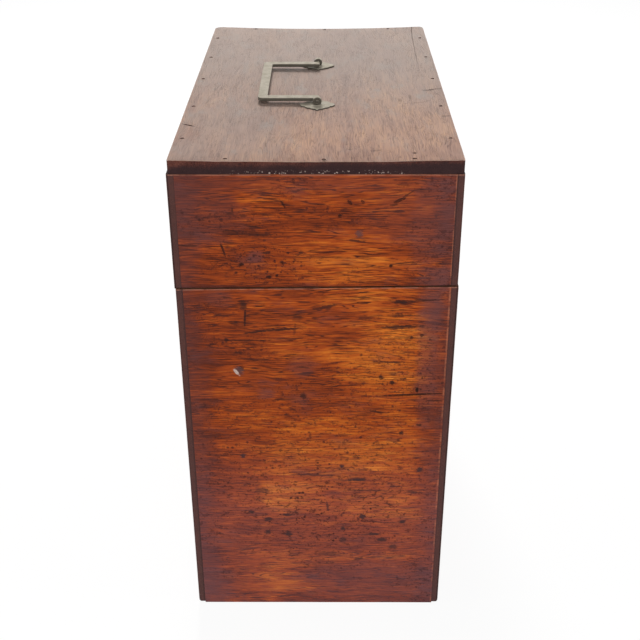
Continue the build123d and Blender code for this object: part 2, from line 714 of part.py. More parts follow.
# Bail: a flat strap bent square, with a round pin on each arm's end
with BuildPart() as handle_bail:
    with BuildSketch(Plane(origin=(HANDLE_X, 0, PIVOT_Z - STRAP / 2))) as strap:
        with Locations((0, GRIP_OUTER / 2)):
            Rectangle(2 * ARM_OUTER, GRIP_OUTER)
        fillet(strap.vertices().group_by(Axis.Y)[-1], radius=GRIP_ROUND)
        with Locations((0, (GRIP_OUTER - STRAP_WIDTH) / 2)):
            Rectangle(
                2 * (ARM_OUTER - STRAP_WIDTH), GRIP_OUTER - STRAP_WIDTH, mode=Mode.SUBTRACT
            )
    extrude(amount=STRAP)
    for side in (LEFT, RIGHT):
        arm_mid = HANDLE_X + side * (ARM_OUTER - STRAP_WIDTH / 2)
        with BuildSketch(Plane.YZ.offset(arm_mid - STRAP_WIDTH / 2)):
            with Locations((0, PIVOT_Z)):
                Circle(STRAP / 2)
        extrude(amount=STRAP_WIDTH)
        pin_start = HANDLE_X + side * ARM_OUTER
        with BuildSketch(Plane.YZ.offset(pin_start)):
            with Locations((0, PIVOT_Z)):
                Circle(BAIL_PIN_R)
        extrude(amount=side * (POST_HALF + EYE / 2 + 0.6 - ARM_OUTER))

# Top board: its upper face hollows more at the far end
TOP_HALF_WIDTH = TOP_WIDTH / 2
with BuildPart() as top_board:
    for x, cup in ((-TOP_LENGTH / 2, CUP_NEAR), (TOP_LENGTH / 2, CUP_FAR)):
        with BuildSketch(Plane.YZ.offset(x)):
            with BuildLine():
                Polyline(
                    (-TOP_HALF_WIDTH, TOP_EDGE),
                    (-TOP_HALF_WIDTH, WALL_TOP),
                    (TOP_HALF_WIDTH, WALL_TOP),
                    (TOP_HALF_WIDTH, TOP_EDGE),
                )
                ThreePointArc(
                    (TOP_HALF_WIDTH, TOP_EDGE), (0, TOP_EDGE - cup), (-TOP_HALF_WIDTH, TOP_EDGE)
                )
            make_face()
    loft(ruled=True)
    for (side, facing), radius in TOP_CORNERS.items():
        upright = top_board.edges().filter_by(Axis.Z)
        outwards = Axis((0, 0, 0), (side, facing, 0))
        fillet(upright.sort_by(outwards)[-1], radius=radius)
    upper_rim = top_board.faces().sort_by(Axis.Z)[-1].edges()
    fillet(upper_rim, radius=ARRIS)
    add(top_bores, mode=Mode.SUBTRACT)
    add(nut_room.part, mode=Mode.SUBTRACT)
    for side in (LEFT, RIGHT):
        add(handle_post(side).part, mode=Mode.SUBTRACT)
        add(handle_plate(side, False).part, mode=Mode.SUBTRACT)

PIECES = {
    "base_front_board": base_front_board,
    "base_back_board": base_back_board,
    "base_left_end": base_left_end,
    "base_right_end": base_right_end,
    "bottom_board": bottom_board,
    "cell_divider": cell_divider,
    "left_cell_lining": left_cell_lining,
    "right_cell_lining": right_cell_lining,
    "left_cell_pad": left_cell_pad,
    "right_cell_pad": right_cell_pad,
    "base_corner_pins": base_corner_pins,
    "bottom_pins": bottom_pins,
    "left_hinge_base_leaf": left_hinge_base_leaf,
    "right_hinge_base_leaf": right_hinge_base_leaf,
    "left_hinge_pin": left_hinge_pin,
    "right_hinge_pin": right_hinge_pin,
    "base_hinge_screws": base_hinge_screws,
    "lock_case": lock_case,
    "lock_cap": lock_cap,
    "lock_bolt": lock_bolt,
    "lock_studs": lock_studs,
    "lock_drill_pin": lock_drill_pin,
    "lock_spring": lock_spring,
    "lock_screws": lock_screws,
    "keyhole_escutcheon": keyhole_escutcheon,
    "top_board": top_board,
    "lid_front_board": lid_front_board,
    "lid_back_board": lid_back_board,
    "lid_left_end": lid_left_end,
    "lid_right_end": lid_right_end,
    "lid_corner_pins": lid_corner_pins,
    "top_pins": top_pins,
    "lid_lining": lid_lining,
    "left_hinge_lid_leaf": left_hinge_lid_leaf,
    "right_hinge_lid_leaf": right_hinge_lid_leaf,
    "lid_hinge_screws": lid_hinge_screws,
    "link_plate": link_plate,
    "link_plate_screws": link_plate_screws,
    "handle_plate_left": handle_plate_left,
    "handle_plate_right": handle_plate_right,
    "handle_post_left": handle_post_left,
    "handle_post_right": handle_post_right,
    "handle_nuts": handle_nuts,
    "handle_bail": handle_bail,
}

os.makedirs("parts", exist_ok=True)
for name, piece in PIECES.items():
    piece.part.label = name
    export_step(piece.part, f"parts/{name}.step")
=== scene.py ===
"""Looks of a decanter box: an old mahogany box with a folding brass handle, on a plain pale floor.

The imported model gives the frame. The hidden hardware keeps its meshes and gets its finishes here. The
boards, the handle's castings and the baize are modelled again with the wear of their age.
"""

import logging
import math
from collections.abc import Callable, Iterable, Sequence
from dataclasses import dataclass, replace
from enum import Enum

import bpy
from mathutils import Matrix, Vector


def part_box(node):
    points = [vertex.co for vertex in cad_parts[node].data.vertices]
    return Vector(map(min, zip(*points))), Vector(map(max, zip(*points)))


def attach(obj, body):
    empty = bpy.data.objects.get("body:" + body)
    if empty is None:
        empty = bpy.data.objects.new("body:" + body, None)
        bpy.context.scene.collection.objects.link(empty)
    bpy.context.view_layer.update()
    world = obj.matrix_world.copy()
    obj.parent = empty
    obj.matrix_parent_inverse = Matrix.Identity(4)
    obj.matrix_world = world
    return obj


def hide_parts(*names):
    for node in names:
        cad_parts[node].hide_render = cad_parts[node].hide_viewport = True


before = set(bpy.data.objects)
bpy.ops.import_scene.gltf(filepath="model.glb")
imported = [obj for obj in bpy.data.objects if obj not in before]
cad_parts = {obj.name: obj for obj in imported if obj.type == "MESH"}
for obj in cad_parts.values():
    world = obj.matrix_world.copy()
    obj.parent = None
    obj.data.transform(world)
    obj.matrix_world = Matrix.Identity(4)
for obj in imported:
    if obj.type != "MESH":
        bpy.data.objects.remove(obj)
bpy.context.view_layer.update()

MM = 0.001
LOG = logging.getLogger("decanter_box")

Socket = bpy.types.NodeSocket
Value = float | Socket
Triple = tuple[float, float, float]
Colour = Triple
Piece = bpy.types.Object
Node = bpy.types.Node
Material = bpy.types.Material
Materials = dict[str, Material]
Sockets = dict[str, Socket]
EdgeTest = Callable[[Vector, Vector], bool]

# The share of a length that an edge has to run to count as going all the way
FULL_RUN = 0.7


class Side(Enum):
    """A side of the box, as its axis and the sign of its outward direction."""

    LEFT = (0, -1)
    RIGHT = (0, 1)
    FRONT = (1, -1)
    BACK = (1, 1)
    UNDER = (2, -1)
    TOP = (2, 1)

    @property
    def outward(self) -> Vector:
        """The unit vector that points out of this side."""
        axis, sign = self.value
        return Vector([sign if index == axis else 0 for index in range(3)])


class Grain(Enum):
    """How a board was laid: the axes along its grain, across it and through the board."""

    LENGTHWISE_FLAT = "XYZ"
    LENGTHWISE_UPRIGHT = "XZY"
    CROSSWISE_UPRIGHT = "YZX"


class Kind(Enum):
    """What a mark in the wood is, by what it does to the surface."""

    DARK = "dark"
    LIGHT = "light"
    BLOT = "blot"
    KNOT = "knot"
    GLOW = "glow"
    SHADE = "shade"
    HAZE = "haze"
    SPECKED = "specked"

    @property
    def soft(self) -> bool:
        """Whether the mark is a broad change of tone and not a small blemish."""
        return self in (Kind.GLOW, Kind.SHADE, Kind.HAZE, Kind.SPECKED)


class Place(Enum):
    """Where a wooden surface is, which decides its wear and dirt."""

    WALL = "wall"
    TOP = "top"
    RIM = "rim"
    INSIDE = "inside"


@dataclass(frozen=True)
class Mark:
    """One mark in a board, placed in millimetres on the plane of its face.

    Args:
        kind: What the mark does to the surface.
        along: Its middle along the grain.
        across: Its middle across the grain.
        length: Half its length.
        width: Half its width.
        turn: Degrees that it is turned from the grain.
        weight: How strongly it shows.
        depth: How deep it is cut into the board, or 0.
    """

    kind: Kind
    along: float
    across: float
    length: float
    width: float
    turn: float = 0.0
    weight: float = 1.0
    depth: float = 0.0


def marks_from(*groups: tuple[Kind, tuple[tuple[float, ...], ...]]) -> tuple[Mark, ...]:
    """Makes marks from groups of rows.

    Args:
        groups: A kind and its rows, each with a mark's other values in their own order.

    Returns:
        The marks in the order given.
    """
    return tuple(Mark(kind, *row) for kind, rows in groups for row in rows)


# The end that the photograph shows. A row has a mark's Y and Z, its half length and its half width, and
# then its turn, weight and depth as far as they aren't 0, 1 and 0.
END_MARKS = marks_from(
    (
        Kind.GLOW,
        (
            (-16, 245, 20, 7, 0, 0.9), (-22, 228, 18, 12, 0, 0.8), (-36, 182, 20, 22, 0, 1),
            (-12, 122, 46, 14, 0, 0.9), (-34, 130, 26, 18, 0, 0.7), (20, 88, 12, 12, 0, 0.5),
            (30, 24, 16, 16, 0, 0.6), (-44, 66, 18, 24, 0, 0.5),
        ),
    ),
    (
        Kind.SHADE,
        (
            (56, 267, 14, 12, 0, 0.95), (30, 262, 20, 8, 0, 0.8), (-20, 268, 50, 12, 0, 0.6),
            (-46, 226, 12, 10, 0, 0.6), (46, 180, 20, 70, 0, 0.5), (56, 60, 18, 60, 0, 0.65),
            (52, 218, 12, 5, 0, 0.9), (12, 218, 26, 6, 0, 0.5), (14, 160, 26, 9, 0, 0.4),
            (-50, 266, 10, 12, 0, 0.5), (-30, 26, 40, 8, 0, 0.8), (-6, 56, 40, 16, 0, 0.35),
            (68, 16, 10, 14, 0, 0.5),
        ),
    ),
    (
        Kind.HAZE,
        (
            (0, 287, 76, 5, 0, 0.35), (-50, 272, 20, 16, 0, 0.4), (-60, 268, 9, 22, 0, 0.75),
            (-63, 232, 7, 6, 0, 0.9), (-62, 210, 5, 12, 0, 0.9), (-61, 170, 4, 30, 0, 0.6),
            (58, 274, 14, 16, 0, 0.5), (53, 220, 6, 4, 0, 0.6), (-36, 18, 34, 12, 0, 0.5),
            (66, 10, 10, 14, 0, 0.6), (8, 176, 6, 5, 0, 0.5), (32, 245, 3, 2.4, 0, 0.8),
            (29, 159, 4, 2.4, 0, 0.7),
        ),
    ),
    (
        Kind.SPECKED,
        (
            (0, 100, 66, 50, 0, 0.8), (-10, 72, 44, 26), (28, 240, 20, 10), (-44, 165, 24, 30, 0, 0.8),
            (34, 264, 18, 8, 0, 0.7),
        ),
    ),
    (
        Kind.DARK,
        (
            (36, 258, 15, 1.6, 3, 0.5), (44, 259, 5, 1.2, 3, 0.6), (33, 262, 5, 0.5, 8, 0.8),
            (44.6, 269.3, 2.4, 1, 0, 0.6), (43.2, 271, 0.5, 1.6, 0, 0.7), (37.8, 268, 2.2, 0.8, 0, 0.6),
            (25, 268.7, 4, 0.5, 0, 0.6), (49, 248.6, 0.6, 4.6, -16, 0.8, 0.2),
            (45, 252.8, 4, 0.5, 4, 0.6), (66, 251, 4.5, 0.8, 0, 0.6),
            (17, 274.6, 0.6, 2.8, -30, 0.8, 0.2), (25.9, 247, 2.4, 0.8, 0, 0.8),
            (39.6, 240.2, 1.3, 1.1, 0, 0.9, 0.25), (42.7, 235.3, 1, 0.8, 0, 0.8),
            (25.2, 232.8, 1.4, 1, 0, 0.9, 0.2), (21, 233.5, 0.9, 0.9, 0, 0.9, 0.2),
            (18, 241.4, 1, 0.9, 0, 0.8, 0.2), (8.1, 247, 1.2, 0.9, 0, 0.7),
            (8.3, 270.9, 3, 0.9, 0, 0.6), (-12.3, 268.1, 1.2, 1, 0, 0.9, 0.3),
            (-17.4, 275.6, 0.9, 1.7, -40, 0.8, 0.3), (-24.1, 275.9, 0.9, 1.5, -30, 0.6, 0.2),
            (-39.5, 239.4, 1, 1, 0, 0.9, 0.3), (-46.3, 241, 9, 0.45, -6, 0.8),
            (-47.4, 280.2, 3.4, 0.5, -34, 0.7), (-43, 276.8, 3.6, 0.9, -26, 0.8, 0.3),
            (-40, 274.2, 2.4, 0.9, -12, 0.7),
        ),
    ),
    (Kind.KNOT, ((-22.4, 257.6, 2.2, 2.4, 0, 0.8, 0.2),)),
    (Kind.DARK, ((-21.4, 253.8, 4.4, 0.6, 8, 0.8),)),
    (Kind.KNOT, ((43.6, 174.2, 3, 2.3, 52, 0.9, 0.3),)),
    # The dark mark in the chip's upper part is its painted shadow.
    (Kind.DARK, ((42.2, 175.4, 1.6, 1.6, 25, 0.8),)),
    (Kind.LIGHT, ((45, 173, 2.5, 0.8, 54, 1),)),
    (
        Kind.DARK,
        (
            (48.2, 220.2, 3.4, 0.6, 0, 0.8), (39.6, 218, 3.4, 0.8, 0, 0.8),
            (39.5, 215.4, 2, 2.8, 0, 0.8), (39, 208, 0.6, 7, 4, 0.9), (44, 205, 1.2, 1, 0, 0.6),
            (40, 193.6, 15, 0.5, 0, 0.8), (49.8, 193.8, 1.2, 1.2, 0, 0.9),
            (16, 194.7, 12, 0.45, -1, 0.7), (32.7, 199.2, 9, 0.7, -9, 0.9),
            (20, 200.5, 12, 0.8, -4, 0.9), (43.7, 185.8, 2.4, 0.7, 0, 0.7),
            (38.9, 163.6, 4, 0.9, 0, 0.5), (18.8, 154.7, 6, 0.6, 0, 0.7),
            (17.8, 144.4, 1.1, 0.9, 0, 0.8), (-4.5, 214.5, 7, 1.1, -12, 0.8),
            (-6, 214, 1.6, 1.8, 0, 0.7), (10.4, 208, 3, 3.4, 10, 0.45), (12, 201, 0.9, 4, 8, 0.5),
            (-27, 208, 5, 1.4, 0, 0.55), (-45.5, 217.6, 5.5, 1.3, 0, 0.9),
            (-56, 218.4, 14, 0.5, -3, 0.8), (-47.5, 209.2, 10, 0.45, 0, 0.7),
            (-46.6, 202.3, 11, 1, -1, 0.85), (-52.3, 195.6, 1.1, 1.1, 0, 0.8),
            (-57.8, 196.7, 1.1, 1.3, 0, 0.8), (-40.7, 179.6, 9, 0.55, 2, 0.85),
            (-36, 169.7, 1.6, 1.3, 30, 0.9, 0.2), (-42.3, 166.2, 1.4, 1.4, 0, 0.9, 0.2),
            (-49.5, 168.8, 1.1, 0.9, 0, 0.8), (-56.6, 161.5, 0.9, 1.8, 0, 1, 0.4),
            (-53, 158.2, 20, 0.7, -3, 0.9, 0.25), (-67, 154.1, 4.5, 0.6, 0, 0.8),
            (-48.5, 132, 1.5, 1.2, 0, 0.9), (-58.7, 137.6, 1.8, 0.8, 0, 0.8),
            (-33.7, 146.5, 5, 0.8, 12, 0.8), (8, 176.5, 4, 1, 0, 0.5), (7.6, 157, 2.2, 1.5, 30, 0.8),
        ),
    ),
    (
        Kind.BLOT,
        (
            (-6, 78, 0.8, 3.8, -8, 0.8), (30, 68, 2.6, 1.6), (18, 71.5, 3.6, 1.2), (18, 57, 2.2, 2.2),
            (30.5, 58, 2, 1.6), (40, 73.5, 2, 1.2), (33, 90, 4.6, 1.8, 0, 0.6), (43.5, 115.5, 1.8, 1.6),
            (-23.5, 98, 6, 1.3), (-14.5, 108, 1.5, 1.3), (1, 101.5, 14, 0.7, 2, 0.8),
            (-30, 90, 14, 0.6, 2, 0.8), (-57, 89, 4.2, 1.4, 0, 0.7), (-60.5, 105.5, 1.8, 2.2),
            (-51.5, 66, 2, 1.6), (-39, 52, 3.6, 1.6), (-34, 56.5, 5.5, 1.1), (-27.5, 70, 2, 2.2, 30),
            (-15.5, 61, 1.5, 1.4), (-15.5, 52, 2, 2.6, 0, 0.8), (-6.5, 41, 8, 2, 0, 0.6),
            (-46.5, 46.5, 2.8, 2, 0, 0.8), (-25, 36.5, 3.2, 1.2, -20, 0.8),
        ),
    ),
)

# The top board. The rows are the same, but start with X and Y.
TOP_MARKS = marks_from(
    (
        Kind.GLOW,
        (
            (-103, -22, 26, 30, 0, 0.8), (-112, -4, 20, 16, 0, 0.6), (-95, -64, 40, 8, 0, 0.6),
            (-30, -50, 44, 16, 0, 1), (-112, 38, 22, 22, 0, 0.5),
        ),
    ),
    (
        Kind.SHADE,
        (
            (-128, 10, 9, 60, 0, 0.35), (-120, 60, 26, 14, 0, 0.3),
        ),
    ),
    # On the top board, haze marks mix in more of its painted sheen.
    (
        Kind.HAZE,
        (
            (-96, 46, 44, 22, 0, 0.4), (-126, 66, 20, 12, 0, 0.5),
        ),
    ),
    (
        Kind.DARK,
        (
            (-136.3, -4.1, 0.9, 1.2, 0, 0.9, 0.6), (-120.3, -17.5, 1, 0.9, 0, 0.9, 0.5),
            (-126.3, -50.6, 1.2, 1.2, 0, 0.6, 0.3), (-122, -31, 1.4, 3, 20, 0.3),
            (-83.4, 70.5, 4.2, 0.7, 62, 0.8, 0.4), (-17, -70.6, 0.6, 5, 8, 0.7, 0.2),
            (-68.3, -72.8, 0.7, 3, 4, 0.6, 0.2), (-36.8, -48.4, 3, 1.2, 0, 0.35),
            (-31, -54.6, 4, 1, 0, 0.35), (-42, -60, 0.6, 5, 12, 0.3), (-19, -66, 1.6, 3, 0, 0.5),
        ),
    ),
)


def select_only(piece: Piece) -> None:
    """Deselects everything but one piece, and makes it the active one."""
    bpy.ops.object.select_all(action="DESELECT")
    piece.select_set(True)
    bpy.context.view_layer.objects.active = piece


def settle(piece: Piece) -> None:
    """Moves a piece's place, turn and scale into its mesh."""
    select_only(piece)
    bpy.ops.object.transform_apply(location=True, rotation=True, scale=True)


def edit(piece: Piece, *steps: Callable[[], object], select_all: bool = True) -> None:
    """Runs edit mode steps on a piece.

    Args:
        piece: The piece to edit.
        steps: Calls of mesh operators, in order.
        select_all: Selects the whole mesh first. Without it the steps act on what is selected.
    """
    select_only(piece)
    bpy.ops.object.mode_set(mode="EDIT")
    if select_all:
        bpy.ops.mesh.select_all(action="SELECT")
    for step in steps:
        step()
    bpy.ops.object.mode_set(mode="OBJECT")


def pick_edges(piece: Piece, wanted: EdgeTest) -> int:
    """Selects the edges whose two ends pass a test.

    Args:
        piece: The piece, in object mode.
        wanted: The test of an edge's two ends.

    Returns:
        How many edges were selected.
    """
    mesh = piece.data
    for part in (*mesh.vertices, *mesh.edges, *mesh.polygons):
        part.select = False
    count = 0
    for edge in mesh.edges:
        first, second = (mesh.vertices[index].co for index in edge.vertices)
        if wanted(first, second):
            edge.select = True
            count += 1
            for index in edge.vertices:
                mesh.vertices[index].select = True
    bpy.context.tool_settings.mesh_select_mode = (False, True, False)
    return count


def bevel(piece: Piece, wanted: EdgeTest, offset: float, segments: int, profile: float = 0.5) -> None:
    """Rounds the edges of a piece that pass a test, if there are any.

    Args:
        piece: The piece, in object mode.
        wanted: The test of an edge's two ends.
        offset: How far the rounding reaches from the edge, in metres.
        segments: How many facets it has.
        profile: How full it is, 0.5 being round.
    """
    if pick_edges(piece, wanted):
        settings = {"offset": offset, "segments": segments, "profile": profile}
        edit(piece, lambda: bpy.ops.mesh.bevel(**settings), select_all=False)


def divide_along(piece: Piece, axis: int, length: float, cuts: int) -> None:
    """Divides the edges of a piece that run along an axis for most of a length."""
    pick_edges(piece, lambda a, b: abs((a - b)[axis]) > FULL_RUN * length)
    edit(piece, lambda: bpy.ops.mesh.subdivide(number_cuts=cuts), select_all=False)


def apply_modifier(piece: Piece, kind: str, **settings: object) -> None:
    """Adds a modifier to a piece, sets it and applies it.

    Args:
        piece: The piece to change.
        kind: The modifier's type.
        settings: The modifier's own settings by name.
    """
    select_only(piece)
    modifier = piece.modifiers.new(kind.title(), kind)
    for name, value in settings.items():
        setattr(modifier, name, value)
    bpy.ops.object.modifier_apply(modifier=modifier.name)


def block(name: str, low: Vector, high: Vector) -> Piece:
    """A box between two corners, with its place in its mesh."""
    bpy.ops.object.select_all(action="DESELECT")
    bpy.ops.mesh.primitive_cube_add(size=1, location=(low + high) / 2, scale=high - low)
    piece = bpy.context.active_object
    piece.name = piece.data.name = name
    settle(piece)
    return piece


def copy_of_node(node: str, name: str) -> Piece:
    """A merged copy of a CAD node's mesh, as a new object with no materials."""
    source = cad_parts[node]
    piece = bpy.data.objects.new(name, source.data.copy())
    bpy.context.scene.collection.objects.link(piece)
    piece.data.materials.clear()
    select_only(piece)
    if piece.data.has_custom_normals:
        bpy.ops.mesh.customdata_custom_splitnormals_clear()
    edit(piece, lambda: bpy.ops.mesh.remove_doubles(threshold=0.001 * MM))
    return piece


def cut(piece: Piece, cutter: Piece, operation: str) -> None:
    """Cuts a piece with another, which is then removed."""
    apply_modifier(piece, "BOOLEAN", operation=operation, object=cutter, solver="EXACT")
    bpy.data.objects.remove(cutter)


def roughen(piece: Piece, grain_size: float, depth: float, step: float = 0.1) -> None:
    """Wears a surface inwards by an uneven depth, and never outwards.

    Args:
        piece: The piece to wear.
        grain_size: The size of the hollows, in metres.
        depth: The depth of the deepest wear, in metres.
        step: The least wear, as a share of the depth.
    """
    texture = bpy.data.textures.new("wear", "CLOUDS")
    texture.noise_scale = grain_size
    texture.noise_depth = 2
    apply_modifier(
        piece,
        "DISPLACE",
        texture=texture,
        texture_coords="LOCAL",
        strength=depth,
        mid_level=1 + step,
    )
    bpy.data.textures.remove(texture)


def shade(piece: Piece, degrees: float = 35.0) -> None:
    """Shades a piece smooth, with its edges above an angle kept sharp."""
    select_only(piece)
    bpy.ops.object.shade_smooth_by_angle(angle=math.radians(degrees))


def dress(piece: Piece, node: str, body: str, slot: str, *materials: Material) -> Piece:
    """Gives a piece its materials and its body, and hides the CAD node that it stands for."""
    if materials:
        piece.data.materials.clear()
        for material in materials:
            piece.data.materials.append(material)
    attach(piece, body)
    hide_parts(node)
    LOG.info("%s: %d faces", piece.name, len(piece.data.polygons))
    return piece


class Graph:
    """Adds nodes to one node tree and joins their sockets."""

    def __init__(self, tree: bpy.types.NodeTree) -> None:
        """Starts with the tree to add to."""
        self.tree = tree

    def node(self, kind: str, **settings: object) -> Node:
        """Adds a node and sets its options by name."""
        made = self.tree.nodes.new(kind)
        for name, value in settings.items():
            setattr(made, name, value)
        return made

    def feed(self, socket: Socket, value: object) -> None:
        """Joins an output to a socket, or sets the socket's own value."""
        if isinstance(value, Socket):
            self.tree.links.new(value, socket)
        else:
            socket.default_value = value

    def math(self, operation: str, *values: Value) -> Socket:
        """A Math node's result."""
        made = self.node("ShaderNodeMath", operation=operation)
        for socket, value in zip(made.inputs, values):
            self.feed(socket, value)
        return made.outputs[0]

    def total(self, *terms: Value) -> Socket:
        """The sum of several values."""
        result = terms[0]
        for term in terms[1:]:
            result = self.math("ADD", result, term)
        return result

    def times(self, *factors: Value) -> Socket:
        """The product of several values."""
        result = factors[0]
        for factor in factors[1:]:
            result = self.math("MULTIPLY", result, factor)
        return result

    def vector_math(self, operation: str, *values: object, scale: Value | None = None) -> Node:
        """A Vector Math node, whose outputs are the vector and the number."""
        made = self.node("ShaderNodeVectorMath", operation=operation)
        for socket, value in zip(made.inputs, values):
            self.feed(socket, value)
        if scale is not None:
            self.feed(made.inputs["Scale"], scale)
        return made

    def linear(self, value: Value, factor: Value, start: Value) -> Socket:
        """A value times a factor, added to a start."""
        return self.math("MULTIPLY_ADD", value, factor, start)

    def larger(self, first: Value, second: Value) -> Socket:
        """The larger of two values."""
        return self.math("MAXIMUM", first, second)

    def parts(self, vector: Socket) -> Sequence[Socket]:
        """The three parts of a vector."""
        made = self.node("ShaderNodeSeparateXYZ")
        self.feed(made.inputs[0], vector)
        return made.outputs

    def millimetres(self, metres: Socket) -> Socket:
        """A point in metres as one in millimetres."""
        return self.vector_math("SCALE", metres, scale=1 / MM).outputs[0]

    def noise(
        self,
        point: Socket,
        sizes: Sequence[float] | None = None,
        detail: float = 2.0,
        roughness: float = 0.5,
        bend: float = 0.0,
    ) -> Socket:
        """Smooth noise around a half.

        Args:
            point: The point that it is taken at.
            sizes: The sizes of its features on the three axes, or None for one unit.
            detail: How many finer layers it has.
            roughness: How strong the finer layers are.
            bend: How far it is distorted.

        Returns:
            The noise.
        """
        if sizes is not None:
            point = self.vector_math("MULTIPLY", point, [1 / size for size in sizes]).outputs[0]
        made = self.node("ShaderNodeTexNoise")
        self.feed(made.inputs["Vector"], point)
        settings = {"Scale": 1.0, "Detail": detail, "Roughness": roughness, "Distortion": bend}
        for name, value in settings.items():
            self.feed(made.inputs[name], value)
        return made.outputs[0]

    def between(
        self, value: Value, low: Value, high: Value, start: Value = 0.0, end: Value = 1.0
    ) -> Socket:
        """Eases from start at low to end at high, and stays there past them."""
        made = self.node("ShaderNodeMapRange", interpolation_type="SMOOTHSTEP")
        for socket, number in zip(made.inputs, (value, low, high, start, end)):
            self.feed(socket, number)
        return made.outputs[0]

    def ramp(self, value: Value, stops: Sequence[tuple[float, Colour]]) -> Socket:
        """Colours along a value, given as places and linear colours."""
        made = self.node("ShaderNodeValToRGB")
        elements = made.color_ramp.elements
        while len(elements) < len(stops):
            elements.new(0.5)
        for element, (place, colour) in zip(elements, stops):
            element.position = place
            element.color = (*colour, 1)
        self.feed(made.inputs[0], value)
        return made.outputs[0]

    def mixed(self, share: Value, first: Socket | Colour, second: Socket | Colour) -> Socket:
        """One colour mixed into another by a share."""
        made = self.node("ShaderNodeMix", data_type="RGBA", clamp_factor=True)
        self.feed(made.inputs["Factor"], share)
        for socket, colour in ((made.inputs[6], first), (made.inputs[7], second)):
            self.feed(socket, colour if isinstance(colour, Socket) else (*colour, 1))
        return made.outputs[2]

    def group(self, name: str, **values: object) -> Node:
        """Places a node group with its inputs set by name, underscores standing for spaces."""
        made = self.node("ShaderNodeGroup", node_tree=bpy.data.node_groups[name])
        for key, value in values.items():
            self.feed(made.inputs[key.replace("_", " ")], value)
        return made


def new_group(name: str, inputs: dict[str, str], outputs: Iterable[str]) -> tuple[Graph, Sockets, Sockets]:
    """Starts a node group.

    Args:
        name: The group's name.
        inputs: Each input's name and kind, Float or Vector.
        outputs: The names of its outputs, which are all values.

    Returns:
        The group's graph, the sockets that hold its inputs, and the sockets that take its outputs.
    """
    tree = bpy.data.node_groups.new(name, "ShaderNodeTree")
    for label, kind in inputs.items():
        tree.interface.new_socket(name=label, in_out="INPUT", socket_type=f"NodeSocket{kind}")
    for label in outputs:
        tree.interface.new_socket(name=label, in_out="OUTPUT", socket_type="NodeSocketFloat")
    graph = Graph(tree)
    given = graph.node("NodeGroupInput").outputs
    taken = graph.node("NodeGroupOutput").inputs
    return graph, {s.name: s for s in given if s.name}, {s.name: s for s in taken if s.name}


